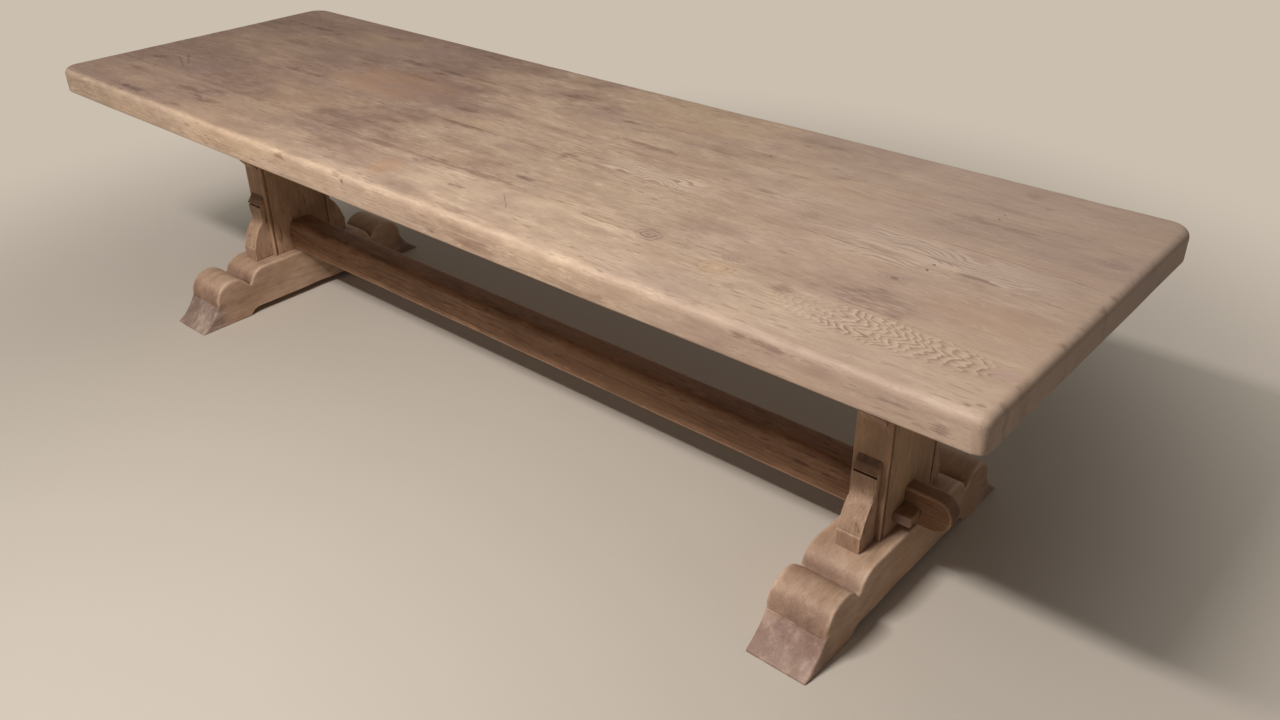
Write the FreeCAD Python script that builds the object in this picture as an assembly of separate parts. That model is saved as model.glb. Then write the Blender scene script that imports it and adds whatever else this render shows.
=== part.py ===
import FreeCAD, Part
import os
from math import hypot, sqrt

# Trestle dining table: a plank top on two shaped trestles, tied by a rail with keyed through tongues.
# Millimetres. X runs along the table, Y from the front long side to the back, Z up.
# The origin is on the floor under the middle of the top.

vector = FreeCAD.Vector

# Top
table_height = 760.0
top_length = 2894.0
top_thickness = 69.0
front_board_width = 188.0
front_inner_board_width = 219.0
middle_board_width = 117.0
rear_inner_board_width = 181.0
rear_board_width = 207.0
top_corner_radius = 50.0  # in plan
top_front_right_radius = 25.0  # the one corner that is tighter
top_arris_radius = 18.0  # upper edge
top_under_radius = 6.0  # lower edge
seam_ease = 0.6  # chamfer on both boards along a seam

# Loose tongues in the edge joints of the boards
spline_width = 16.0
spline_thickness = 12.0
spline_end_margin = 90.0  # the grooves stop short of the ends
spline_edge_gap = 1.0  # spare room at the bottom of each groove

# Nails from the boards into the bearers
nail_head_diameter = 9.0
nail_head_thickness = 3.0
nail_shank_diameter = 5.0
nail_tip_diameter = 1.25
nail_point_length = 8.0
nail_grip = 40.0  # length held in the bearer
nail_sink = 1.5  # head below the surface of the top
nail_groove_wall = 2.5  # wood between a nail and the groove of the seam beside it
nail_end_distance = 40.0  # outermost nails from the ends of the bearer
nail_row_offset = 45.0  # outward from the middle of the trestle
nail_clearance = 0.3
nail_hole_spare = 2.0  # hole deeper than the point

# Trestles
trestle_setback = 357.0  # middle of a trestle from the end of the top

# Feet
foot_length = 832.0
foot_thickness = 147.0
foot_height = 148.0
foot_toe_lip = 4.0  # upright edge at the tip of the toe
foot_toe_hollow = 7.0  # how far the toe's slope dips below a straight line
foot_bulb_radius = 62.0
foot_bulb_top_drop = 10.0  # top of the bulb below the flat top of the foot
foot_bulb_start_drop = 4.0  # the slope meets the bulb this far below its centre
foot_shoulder_radius = 60.0
foot_notch_overlap = 4.0  # how far bulb and shoulder run into each other, which makes the notch
foot_relief_height = 21.0
foot_relief_length = 424.0
foot_relief_radius = 36.0

# Posts
post_thickness = 83.0
post_width = 220.0
post_arris_radius = 3.0
groove_setback = 7.0  # from the narrow face of the post
groove_width = 7.0
groove_depth = 6.0
tenon_thickness = 30.0
tenon_width = 150.0
foot_tenon_length = 90.0
bearer_tenon_length = 42.0
tenon_end_gap = 2.0

# Bearers
bearer_length = 740.0
bearer_width = 120.0
bearer_height = 61.0
bearer_end_rise = 30.0
bearer_end_run = 60.0
bearer_end_swell = 8.0

# Brackets
bracket_thickness = 57.0
bracket_gap = 82.0  # between the tips of a lower and an upper bracket
bracket_base_depth = 61.0
bracket_plinth_height = 39.0
bracket_step = 3.0
bracket_sweep_swell = 6.0
bracket_neck_drop = 81.0  # start of the neck from the tip
bracket_neck_depth = 17.0
bracket_neck_lean = 3.0  # the neck leans out towards the cap
bracket_cap_height = 28.0
bracket_cap_depth = 22.0
bracket_kerf_height = 6.5
bracket_kerf_depth = 6.0

# Dowels between brackets and posts
dowel_diameter = 10.0
dowel_post_depth = 30.0
dowel_bracket_depth = 26.0
dowel_spacing = 28.0  # between the two dowels of a bracket
dowel_clearance = 0.3
dowel_end_gap = 2.0

# Rail between the trestles
rail_height = 96.0
rail_thickness = 86.0
rail_lift = 2.0  # above the feet
rail_top_radius = 20.0
rail_under_radius = 10.0
tongue_shoulder = 6.5  # rail above and below the tongue
tongue_thickness = 40.0
tongue_projection = 110.0  # past the outer face of the post
tongue_side_clearance = 0.5
tongue_top_clearance = 1.0

# Keys through the tongues
key_height = 23.0
key_front_width = 42.0
key_rear_width = 32.0
key_length = 140.0
key_front_reach = 45.0  # in front of the tongue
key_drop = 10.0  # key's middle below the tongue's middle
key_chamfer = 2.0
key_top_clearance = 0.3
key_slot_relief = 3.0  # the slot starts inside the post, so that the key can draw tight

# Places that follow from the sizes
board_names = ["front_board", "front_inner_board", "middle_board", "rear_inner_board", "rear_board"]
board_widths = [
    front_board_width,
    front_inner_board_width,
    middle_board_width,
    rear_inner_board_width,
    rear_board_width,
]
top_width = sum(board_widths)
top_underside = table_height - top_thickness
board_edges = [sum(board_widths[:count]) - top_width / 2 for count in range(len(board_widths) + 1)]
seams = board_edges[1:-1]
nail_seam_distance = spline_width / 2 + spline_edge_gap + nail_groove_wall + nail_shank_diameter / 2
nail_head_underside = table_height - nail_sink - nail_head_thickness
nail_tip = top_underside - nail_grip
trestle_centre = top_length / 2 - trestle_setback
bearer_underside = top_underside - bearer_height
foot_flat_length = post_width + 2 * bracket_base_depth  # the shoulders start where the brackets end
post_height = bearer_underside - foot_height
post_half_thickness = post_thickness / 2
post_half_width = post_width / 2
bracket_height = (post_height - bracket_gap) / 2
bracket_neck_height = bracket_height - bracket_neck_drop
bracket_cap_start = bracket_height - bracket_cap_height
dowel_height = bracket_plinth_height / 2  # above the base of a bracket
rail_underside = foot_height + rail_lift
rail_middle = rail_underside + rail_height / 2
tongue_height = rail_height - 2 * tongue_shoulder
tongue_underside = rail_underside + tongue_shoulder
key_underside = rail_middle - key_drop - key_height / 2
key_front = -tongue_thickness / 2 - key_front_reach
post_outer_face = trestle_centre + post_half_thickness
post_inner_face = trestle_centre - post_half_thickness
cut_margin = 1.0  # cutting tools run past the faces that they open
tolerance = 1e-6  # for picking edges by their place or direction


def line(start, end):
    return Part.LineSegment(start, end).toShape()


def arc(start, middle, end):
    return Part.Arc(start, middle, end).toShape()


def prism(edges, direction):
    return Part.Face(Part.Wire(edges)).extrude(direction)


def polygon_prism(points, direction):
    return Part.Face(Part.makePolygon(points + points[:1])).extrude(direction)


def centred_box(length, width, height, centre_x, centre_y, bottom):
    corner = vector(centre_x - length / 2, centre_y - width / 2, bottom)
    return Part.makeBox(length, width, height, corner)


def bowed(start, end, bow):
    # point beside the middle of a chord in the YZ plane, to the left of its direction where bow is positive
    along = end.sub(start)
    length = hypot(along.y, along.z)
    return (start + end) / 2 + vector(0, -along.z, along.y) * (bow / length)


def at_height(edges, height):
    def level(point):
        return abs(point.Z - height) < tolerance

    return [edge for edge in edges if all(level(point) for point in edge.Vertexes)]


def upright_at(edges, x, y):
    def there(point):
        return hypot(point.X - x, point.Y - y) < tolerance

    return [edge for edge in edges if all(there(point) for point in edge.Vertexes)]


def along_axis(edges, axis):
    straight = [edge for edge in edges if edge.Curve.TypeId == "Part::GeomLine"]
    return [edge for edge in straight if abs(edge.Curve.Direction.dot(axis)) > 1 - tolerance]


# Top: one slab with rounded edges, sawn into boards
def nail_places(side):
    # nails astride each seam, and one near each end of the bearer
    across = [seam + offset for seam in seams for offset in (-nail_seam_distance, nail_seam_distance)]
    outermost = bearer_length / 2 - nail_end_distance
    across += [-outermost, outermost]
    x = side * (trestle_centre + nail_row_offset)
    return [vector(x, y, 0) for y in across]


def nail(place):
    neck = place + vector(0, 0, nail_head_underside)
    point_top = place + vector(0, 0, nail_tip + nail_point_length)
    shank_radius = nail_shank_diameter / 2
    down = vector(0, 0, -1)
    head = Part.makeCylinder(nail_head_diameter / 2, nail_head_thickness, neck)
    shank = Part.makeCylinder(shank_radius, neck.z - point_top.z, neck, down)
    point = Part.makeCone(shank_radius, nail_tip_diameter / 2, nail_point_length, point_top, down)
    return head.fuse([shank, point]).removeSplitter()


def nail_hole(place):
    neck = place + vector(0, 0, nail_head_underside)
    bottom = place + vector(0, 0, nail_tip - nail_hole_spare)
    hole_radius = nail_shank_diameter / 2 + nail_clearance
    recess_radius = nail_head_diameter / 2 + nail_clearance
    shaft = Part.makeCylinder(hole_radius, neck.z - bottom.z + cut_margin, bottom)
    recess = Part.makeCylinder(recess_radius, table_height - neck.z + cut_margin, neck)
    return shaft.fuse(recess)


def slab():
    body = centred_box(top_length, top_width, top_thickness, 0, 0, top_underside)
    for end in (-1, 1):
        for face in (-1, 1):
            front_right = end > 0 and face < 0
            radius = top_front_right_radius if front_right else top_corner_radius
            corner = upright_at(body.Edges, end * top_length / 2, face * top_width / 2)
            body = body.makeFillet(radius, corner)
    body = body.makeFillet(top_arris_radius, at_height(body.Edges, table_height))
    return body.makeFillet(top_under_radius, at_height(body.Edges, top_underside))


def spline(seam, edge_gap):
    length = top_length - 2 * spline_end_margin
    bottom = top_underside + (top_thickness - spline_thickness) / 2
    return centred_box(length, spline_width + 2 * edge_gap, spline_thickness, 0, seam, bottom)


def seam_groove(seam):
    corners = [(-seam_ease, 0), (0, -seam_ease), (seam_ease, 0)]
    start = vector(-top_length / 2, seam, table_height)
    points = [start + vector(0, across, rise) for across, rise in corners]
    return polygon_prism(points, vector(top_length, 0, 0))


def boards():
    whole = slab()
    cuts = [spline(seam, spline_edge_gap) for seam in seams]
    cuts += [seam_groove(seam) for seam in seams]
    cuts += [nail_hole(place) for side in (-1, 1) for place in nail_places(side)]
    pieces = {}
    for name, low, width in zip(board_names, board_edges, board_widths):
        share = centred_box(top_length, width, top_thickness, 0, low + width / 2, top_underside)
        pieces[name] = whole.common(share).cut(cuts)
    return pieces


# Foot: an outline in the YZ plane, the same at both ends
def foot_half(side):
    def at(from_middle, height):
        return vector(-foot_thickness / 2, side * from_middle, height)

    toe = foot_length / 2
    shoulder = (foot_flat_length / 2, foot_height - foot_shoulder_radius)
    bulb_spacing = foot_shoulder_radius + foot_bulb_radius - foot_notch_overlap
    bulb = (shoulder[0] + bulb_spacing, foot_height - foot_bulb_top_drop - foot_bulb_radius)
    bulb_start_run = sqrt(foot_bulb_radius ** 2 - foot_bulb_start_drop ** 2)
    bulb_start = at(bulb[0] + bulb_start_run, bulb[1] - foot_bulb_start_drop)
    # notch where the bulb and the shoulder cross
    apart_y = shoulder[0] - bulb[0]
    apart_z = shoulder[1] - bulb[1]
    apart = hypot(apart_y, apart_z)
    along = (foot_bulb_radius ** 2 - foot_shoulder_radius ** 2 + apart ** 2) / (2 * apart)
    rise = sqrt(foot_bulb_radius ** 2 - along ** 2)
    notch_y = bulb[0] + (along * apart_y + rise * apart_z) / apart
    notch_z = bulb[1] + (along * apart_z - rise * apart_y) / apart
    notch = at(notch_y, notch_z)
    slant = foot_shoulder_radius * sqrt(1 / 2)  # halfway round a quarter turn
    shoulder_side = at(shoulder[0] + slant, shoulder[1] + slant)
    relief_end = foot_relief_length / 2
    relief_run = sqrt(foot_relief_radius ** 2 - (foot_relief_radius - foot_relief_height) ** 2)
    bend_run = relief_run / 2
    bend_fall = foot_relief_radius - sqrt(foot_relief_radius ** 2 - bend_run ** 2)
    relief_bend = at(relief_end + bend_run, foot_relief_height - bend_fall)
    lip = at(toe, foot_toe_lip)
    return [
        arc(at(relief_end, foot_relief_height), relief_bend, at(relief_end + relief_run, 0)),
        line(at(relief_end + relief_run, 0), at(toe, 0)),
        line(at(toe, 0), lip),
        arc(lip, bowed(lip, bulb_start, side * foot_toe_hollow), bulb_start),
        arc(bulb_start, at(bulb[0], bulb[1] + foot_bulb_radius), notch),
        arc(notch, shoulder_side, at(shoulder[0], foot_height)),
    ]


def foot():
    def level_line(length, height):
        start = vector(-foot_thickness / 2, -length / 2, height)
        return line(start, start + vector(0, length, 0))

    edges = foot_half(-1) + foot_half(1)
    edges.append(level_line(foot_flat_length, foot_height))
    edges.append(level_line(foot_relief_length, foot_relief_height))
    body = prism(Part.__sortEdges__(edges), vector(foot_thickness, 0, 0))
    depth = foot_tenon_length + tenon_end_gap
    mortise = centred_box(tenon_thickness, tenon_width, depth + cut_margin, 0, 0, foot_height - depth)
    return body.cut(mortise)


# Post: a slab with tenons, grooves beside its arrises and a mortise for the rail's tongue
def post():
    body = centred_box(post_thickness, post_width, post_height, 0, 0, foot_height)
    body = body.makeFillet(post_arris_radius, along_axis(body.Edges, vector(0, 0, 1)))
    tenon_height = foot_tenon_length + post_height + bearer_tenon_length
    tenon = centred_box(tenon_thickness, tenon_width, tenon_height, 0, 0, foot_height - foot_tenon_length)
    grooves = []
    for side in (-1, 1):
        groove_y = side * (post_half_width - groove_setback - groove_width / 2)
        for face in (-1, 1):
            groove_x = face * post_half_thickness
            size = (2 * groove_depth, groove_width, post_height)
            grooves.append(centred_box(*size, groove_x, groove_y, foot_height))
    body = body.cut(grooves).fuse(tenon).removeSplitter()
    mortise_width = tongue_thickness + 2 * tongue_side_clearance
    mortise_height = tongue_height + tongue_top_clearance
    mortise_length = post_thickness + 2 * cut_margin
    mortise = centred_box(mortise_length, mortise_width, mortise_height, 0, 0, tongue_underside)
    return body.cut([mortise] + [dowel_hole(*place) for place in dowel_places()])


# Brackets: the same outline at the foot and, turned over, under the bearer
def bracket_base(level):
    return foot_height if level > 0 else bearer_underside


def bracket(side, level):
    base = bracket_base(level)

    def at(depth, height):
        return vector(-bracket_thickness / 2, side * (post_half_width + depth), base + level * height)

    sweep_start = at(bracket_base_depth - bracket_step, bracket_plinth_height + bracket_step)
    sweep_end = at(bracket_neck_depth, bracket_neck_height)
    swell = -side * level * bracket_sweep_swell
    neck_top_depth = bracket_neck_depth + bracket_neck_lean
    kerf_start = bracket_cap_start - bracket_kerf_height
    corners = [
        at(bracket_neck_depth, bracket_neck_height),
        at(neck_top_depth, kerf_start),
        at(neck_top_depth - bracket_kerf_depth, kerf_start),
        at(neck_top_depth - bracket_kerf_depth, bracket_cap_start),
        at(bracket_cap_depth, bracket_cap_start),
        at(0, bracket_height),
        at(0, 0),
        at(bracket_base_depth, 0),
        at(bracket_base_depth, bracket_plinth_height),
        sweep_start,
    ]
    edges = [line(start, end) for start, end in zip(corners, corners[1:])]
    edges.append(arc(sweep_start, bowed(sweep_start, sweep_end, swell), sweep_end))
    body = prism(Part.__sortEdges__(edges), vector(bracket_thickness, 0, 0))
    return body.cut([dowel_hole(*place) for place in dowel_places() if place[:2] == (side, level)])


# Dowels
def dowel_places():
    pair = (-dowel_spacing / 2, dowel_spacing / 2)
    return [(side, level, x) for side in (-1, 1) for level in (-1, 1) for x in pair]


def dowel_cylinder(side, level, x, radius, bracket_depth):
    height = bracket_base(level) + level * dowel_height
    start = vector(x, side * (post_half_width - dowel_post_depth), height)
    return Part.makeCylinder(radius, dowel_post_depth + bracket_depth, start, vector(0, side, 0))


def dowel(side, level, x):
    return dowel_cylinder(side, level, x, dowel_diameter / 2, dowel_bracket_depth)


def dowel_hole(side, level, x):
    radius = dowel_diameter / 2 + dowel_clearance
    return dowel_cylinder(side, level, x, radius, dowel_bracket_depth + dowel_end_gap)


# Bearer
def bearer(side):
    half = bearer_length / 2

    def at(across, height):
        return vector(-bearer_width / 2, across, bearer_underside + height)

    edges = [
        line(at(-half, bearer_height), at(half, bearer_height)),
        line(at(-half + bearer_end_run, 0), at(half - bearer_end_run, 0)),
    ]
    for end in (-1, 1):
        low = at(end * (half - bearer_end_run), 0)
        high = at(end * half, bearer_end_rise)
        edges.append(arc(low, bowed(low, high, -end * bearer_end_swell), high))
        edges.append(line(high, at(end * half, bearer_height)))
    body = prism(Part.__sortEdges__(edges), vector(bearer_width, 0, 0))
    depth = bearer_tenon_length + tenon_end_gap
    mortise_bottom = bearer_underside - cut_margin
    mortise = centred_box(tenon_thickness, tenon_width, depth + cut_margin, 0, 0, mortise_bottom)
    body = body.cut(mortise).translated(vector(side * trestle_centre, 0, 0))
    return body.cut([nail_hole(place) for place in nail_places(side)])


# Rail with its tongues, and the keys
def key_width_at(y):
    return key_front_width + (key_rear_width - key_front_width) * (y - key_front) / key_length


def key():
    rear = key_front + key_length
    points = [
        vector(post_outer_face, key_front, key_underside),
        vector(post_outer_face + key_front_width, key_front, key_underside),
        vector(post_outer_face + key_rear_width, rear, key_underside),
        vector(post_outer_face, rear, key_underside),
    ]
    body = polygon_prism(points, vector(0, 0, key_height))
    end_edges = along_axis(body.Edges, vector(1, 0, 0)) + along_axis(body.Edges, vector(0, 0, 1))
    return body.makeChamfer(key_chamfer, end_edges)


def key_slot():
    front = -tongue_thickness / 2 - cut_margin
    rear = tongue_thickness / 2 + cut_margin
    points = [
        vector(post_outer_face - key_slot_relief, front, key_underside),
        vector(post_outer_face + key_width_at(front), front, key_underside),
        vector(post_outer_face + key_width_at(rear), rear, key_underside),
        vector(post_outer_face - key_slot_relief, rear, key_underside),
    ]
    return polygon_prism(points, vector(0, 0, key_height + key_top_clearance))


def tongue():
    radius = tongue_height / 2
    round_start = post_outer_face + tongue_projection - radius

    def at(x, height):
        return vector(x, -tongue_thickness / 2, rail_middle + height)

    edges = [
        line(at(post_inner_face - cut_margin, -radius), at(round_start, -radius)),
        arc(at(round_start, -radius), at(round_start + radius, 0), at(round_start, radius)),
        line(at(round_start, radius), at(post_inner_face - cut_margin, radius)),
        line(at(post_inner_face - cut_margin, radius), at(post_inner_face - cut_margin, -radius)),
    ]
    return prism(edges, vector(0, tongue_thickness, 0)).cut(key_slot())


def across_table(shape):
    return shape.mirror(vector(0, 0, 0), vector(1, 0, 0))


def rail():
    body = centred_box(2 * post_inner_face, rail_thickness, rail_height, 0, 0, rail_underside)
    upper = at_height(along_axis(body.Edges, vector(1, 0, 0)), rail_underside + rail_height)
    body = body.makeFillet(rail_top_radius, upper)
    lower = at_height(along_axis(body.Edges, vector(1, 0, 0)), rail_underside)
    body = body.makeFillet(rail_under_radius, lower)
    return body.fuse([tongue(), across_table(tongue())]).removeSplitter()


# All the pieces by name
pieces = boards()
for number, seam in enumerate(seams, 1):
    pieces["spline_%d" % number] = spline(seam, 0)
for name, side in (("left", -1), ("right", 1)):
    shift = vector(side * trestle_centre, 0, 0)
    pieces[name + "_nails"] = Part.makeCompound([nail(place) for place in nail_places(side)])
    pieces[name + "_bearer"] = bearer(side)
    pieces[name + "_foot"] = foot().translated(shift)
    pieces[name + "_post"] = post().translated(shift)
    for level_name, level in (("lower", 1), ("upper", -1)):
        for side_name, bracket_side in (("front", -1), ("rear", 1)):
            node = "%s_%s_%s_bracket" % (name, level_name, side_name)
            pieces[node] = bracket(bracket_side, level).translated(shift)
    dowels = [dowel(*place) for place in dowel_places()]
    pieces[name + "_dowels"] = Part.makeCompound(dowels).translated(shift)
pieces["rail"] = rail()
pieces["right_key"] = key()
pieces["left_key"] = across_table(key())

os.makedirs("parts", exist_ok=True)
for name, shape in pieces.items():
    shape.exportStep("parts/%s.step" % name)
    print(name, "solids", len(shape.Solids), "valid", shape.isValid(), "volume", round(shape.Volume))
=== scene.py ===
import math
from types import SimpleNamespace

import bmesh
import bpy
import numpy as np
from mathutils import Matrix, Vector


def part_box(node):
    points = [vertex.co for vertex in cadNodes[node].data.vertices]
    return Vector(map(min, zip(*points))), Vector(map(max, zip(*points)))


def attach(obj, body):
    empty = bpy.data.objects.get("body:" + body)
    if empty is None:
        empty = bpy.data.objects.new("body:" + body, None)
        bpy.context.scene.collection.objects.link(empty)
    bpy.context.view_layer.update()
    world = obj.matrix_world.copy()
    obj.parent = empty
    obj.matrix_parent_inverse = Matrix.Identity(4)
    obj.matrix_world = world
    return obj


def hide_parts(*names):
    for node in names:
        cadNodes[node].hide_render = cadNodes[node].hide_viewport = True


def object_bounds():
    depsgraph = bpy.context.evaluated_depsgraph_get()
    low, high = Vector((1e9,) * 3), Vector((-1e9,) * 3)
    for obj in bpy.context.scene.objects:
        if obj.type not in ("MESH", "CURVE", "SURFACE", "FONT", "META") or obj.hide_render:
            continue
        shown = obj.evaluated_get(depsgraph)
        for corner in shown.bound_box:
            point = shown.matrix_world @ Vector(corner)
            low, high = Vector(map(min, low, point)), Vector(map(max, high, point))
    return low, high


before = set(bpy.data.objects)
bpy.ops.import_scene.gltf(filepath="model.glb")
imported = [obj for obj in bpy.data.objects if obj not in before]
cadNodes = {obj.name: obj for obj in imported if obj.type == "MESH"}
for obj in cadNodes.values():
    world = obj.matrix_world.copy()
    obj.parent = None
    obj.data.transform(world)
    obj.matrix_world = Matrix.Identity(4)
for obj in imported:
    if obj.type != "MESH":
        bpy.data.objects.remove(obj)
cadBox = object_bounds()  # before any piece is added
print("frame loaded:", len(cadNodes), "nodes")


# Numbers and meshes

def drift(points, size, seed):  # smooth random field from -1 to 1, in lumps of that size
    cells = 24
    lattice = np.random.default_rng(seed).uniform(-1, 1, (cells, cells, cells))
    scaled = np.asarray(points) / size
    corner = np.floor(scaled).astype(int)
    part = scaled - corner
    part = part * part * (3 - 2 * part)
    total = np.zeros(len(scaled))
    for step in np.ndindex(2, 2, 2):
        index = (corner + step) % cells
        weight = np.where(step, part, 1 - part).prod(axis=1)
        total += weight * lattice[index[:, 0], index[:, 1], index[:, 2]]
    return total


def ease(value, low, high):  # 0 below low, 1 above high, smooth between
    share = np.clip((value - low) / (high - low), 0, 1)
    return share * share * (3 - 2 * share)


def readArray(items, name, width, kind=float):
    values = np.empty(len(items) * width, dtype=kind)
    items.foreach_get(name, values)
    return values.reshape(-1, width)


def readPoints(mesh):
    return readArray(mesh.vertices, "co", 3)


def readNormals(mesh):
    return readArray(mesh.vertex_normals, "vector", 3)


def writePoints(mesh, points):
    mesh.vertices.foreach_set("co", points.astype(np.float32).ravel())
    mesh.update()


def meanOfNeighbours(values, edges):
    count = len(values)
    first, second = edges[:, 0], edges[:, 1]
    ends = np.maximum(np.bincount(edges.ravel(), minlength=count), 1)
    columns = []
    for column in values.T:
        total = np.bincount(first, column[second], count) + np.bincount(second, column[first], count)
        columns.append(total / ends)
    return np.array(columns).T


def paintAttribute(mesh, name, values):
    layer = mesh.attributes.new(name, "FLOAT", "POINT")
    layer.data.foreach_set("value", values.astype(np.float32))


def newMesh(name, points, faces):
    mesh = bpy.data.meshes.new(name)
    mesh.from_pydata([tuple(point) for point in points], [], faces)
    mesh.validate()
    mesh.update()
    return mesh


def addObject(name, mesh):
    made = bpy.data.objects.new(name, mesh)
    bpy.context.scene.collection.objects.link(made)
    return made


def bakeModifiers(made):  # the mesh with its modifiers in it, and no modifier left
    graph = bpy.context.evaluated_depsgraph_get()
    mesh = bpy.data.meshes.new_from_object(made.evaluated_get(graph))
    made.modifiers.clear()
    made.data = mesh
    return mesh


def middleX(node):
    low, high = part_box(node)
    return (low.x + high.x) / 2


def dressPiece(made, replaced, body, material, sharpAngle=40):
    mesh = made.data
    mesh.materials.clear()
    mesh.materials.append(material)
    mesh.polygons.foreach_set("use_smooth", [True] * len(mesh.polygons))
    mesh.set_sharp_from_angle(angle=math.radians(sharpAngle))
    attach(made, body)
    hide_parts(*replaced)
    return made


# Shader sums: a Wire is a socket that takes part in Python expressions

class Wire:
    def __init__(self, finish, socket):
        self.finish = finish
        self.socket = socket

    def maths(self, operation, first, second=0.0):
        return self.finish.node("ShaderNodeMath", {"operation": operation}, {0: first, 1: second})

    def __add__(self, other):
        return self.maths("ADD", self, other)

    def __sub__(self, other):
        return self.maths("SUBTRACT", self, other)

    def __rsub__(self, other):
        return self.maths("SUBTRACT", other, self)

    def __mul__(self, other):
        return self.maths("MULTIPLY", self, other)

    def __truediv__(self, other):
        return self.maths("DIVIDE", self, other)

    def __abs__(self):
        return self.maths("ABSOLUTE", self)

    __radd__ = __add__
    __rmul__ = __mul__

    def root(self):
        return self.maths("SQRT", self)

    def fraction(self):
        return self.maths("FRACT", self)

    def smooth(self, low, high):  # 0 at low, 1 at high
        sockets = {"Value": self, "From Min": low, "From Max": high}
        return self.finish.node("ShaderNodeMapRange", {"interpolation_type": "SMOOTHSTEP"}, sockets)


class Finish:
    def __init__(self, owner):  # a material or a world
        owner.use_nodes = True
        self.owner = owner
        self.tree = owner.node_tree
        self.tree.nodes.clear()

    def node(self, kind, settings, sockets, output=0):
        made = self.tree.nodes.new(kind)
        for name, value in settings.items():
            if name == "stops":
                ramp = made.color_ramp.elements
                while len(ramp) < len(value):
                    ramp.new(1.0)
                for element, (position, colour) in zip(ramp, value):
                    element.position = position
                    element.color = colour
            else:
                setattr(made, name, value)
        for name, value in sockets.items():
            if isinstance(value, Wire):
                self.tree.links.new(value.socket, made.inputs[name])
            else:
                made.inputs[name].default_value = value
        if made.outputs:
            return Wire(self, made.outputs[output])

    def objectPlace(self):
        place = self.node("ShaderNodeTexCoord", {}, {}, "Object")
        return [self.node("ShaderNodeSeparateXYZ", {}, {0: place}, axis) for axis in "XYZ"]

    def vector(self, x, y, z):
        return self.node("ShaderNodeCombineXYZ", {}, {0: x, 1: y, 2: z})

    def scaled(self, vector, scale):
        return self.node("ShaderNodeVectorMath", {"operation": "MULTIPLY"}, {0: vector, 1: scale})

    def noise(self, vector, scale, detail=2.0, roughness=0.5):  # about 0 to 1, with lumps of 1/scale
        sockets = {"Vector": self.scaled(vector, scale), "Scale": 1.0}
        sockets |= {"Detail": detail, "Roughness": roughness}
        return self.node("ShaderNodeTexNoise", {}, sockets)

    def ramp(self, value, stops):
        return self.node("ShaderNodeValToRGB", {"stops": stops}, {0: value})

    def mix(self, share, first, second):  # two colours
        return self.node("ShaderNodeMix", {"data_type": "RGBA"}, {0: share, 6: first, 7: second}, 2)

    def attribute(self, name):
        return self.node("ShaderNodeAttribute", {"attribute_name": name}, {}, "Fac")

    def rays(self, names):  # 1 for these kinds of ray, 0 for others
        return sum(self.node("ShaderNodeLightPath", {}, {}, name) for name in names)

    def surface(self, colour, roughness, bump, bumpDepth, constants):
        normal = self.node("ShaderNodeBump", {}, {"Height": bump, "Distance": bumpDepth, "Strength": 1.0})
        sockets = {"Base Color": colour, "Roughness": roughness, "Normal": normal, **constants}
        shader = self.node("ShaderNodeBsdfPrincipled", {}, sockets)
        self.node("ShaderNodeOutputMaterial", {}, {"Surface": shader})
        return self.owner


def tone(red, green, blue):  # a screen colour, 0 to 255, as a shader colour
    return [((value / 255 + 0.055) / 1.055) ** 2.4 for value in (red, green, blue)] + [1.0]


# Oak: soft mottling, lengthwise fibres, short pores, rings in places, knots, smudges and worn arrises.
# Its one number, from 0 to 1, runs through a ramp from the colour of the pores to the palest wood.

oakDefaults = {
    "grain": "X",
    "heart": (0.0, 0.0),  # of the log, across the grain
    "ring": 0.0050,  # width of a year
    "tilt": 0.012,  # how the rings climb along the grain
    "sway": 0.030,
    "ripple": 1.6,
    "ringDepth": 0.13,
    "ringPatch": (0.46, 0.66),  # the rings show where a broad noise lies above these
    "ringEnd": (9.0, 9.1),  # distances along the grain between which they fade out
    "level": 0.66,  # overall paleness
    "broad": 0.40,
    "cloud": 0.36,
    "blotch": 0.42,
    "streak": 0.25,
    "mottle": 0.46,
    "fleck": 0.24,
    "fibre": 0.26,
    "tick": 0.20,
    "pore": 0.22,
    "edgeGain": 0.22,
    "hollowLoss": 0.45,
    "endLoss": 0.22,
    "sideShade": 0.0,  # painted shade on the front and back faces
    "colours": (tone(98, 73, 59), tone(144, 116, 98), tone(178, 151, 128), tone(209, 182, 155)),
    "stain": tone(146, 122, 115),
    "stainShare": 0.34,
    "warm": tone(188, 155, 117),
    "warmShare": 0.30,
    "knots": (),  # along, across, size, darkness of the eye, depth of the swirl, warmth
    "smudges": (),  # along, across, half length, half width, darkness
    "faceMarks": (),  # along, height, half length, half height, darkness, on the front face
    "strokes": (),  # start along and aside, end along and aside, half width, darkness
    "strokesUpright": False,  # aside is the height, for a rail, and not across
    "patches": (),  # along, across, half length, half width, share, colour
    "waves": (),  # start and end along, across, half width and depth of a run of curly grain
    "flame": None,  # along and across of a patch of zigzag figure, its half length and half width
    "bands": (),  # heights between which the wood darkens, and by how much: painted shade on the bracket caps; a negative darkness paints a pale rubbed line
    "toes": None,  # reach and height of the scuffed toes
    "shade": None,  # places along the grain between which the wood darkens, and by how much
    "haze": None,  # places along the grain between which the wood turns grey, and by what share
    # a pale grey: greyer wood, kept pale enough to paint in light towards +X where the lamp falls off
    "hazeTint": tone(190, 164, 149),
    "toeTints": (tone(128, 100, 89), tone(168, 141, 131)),
    "roughness": 0.58,
    "seed": 0,
}

oakFields = {  # lumps to the metre, detail and roughness; these run on from board to board
    "broad": ((0.9, 2.0, 2.0), 2, 0.50),
    "cloud": ((2.4, 5.0, 5.0), 3, 0.55),
    "blotch": ((7, 14, 14), 3, 0.55),
    "mottle": ((20, 52, 52), 4, 0.62),
    "stains": ((2.6, 6, 6), 4, 0.60),
    "warp": ((7, 15, 15), 1, 0.50),
    "streak": ((5, 46, 46), 3, 0.60),
}

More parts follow.
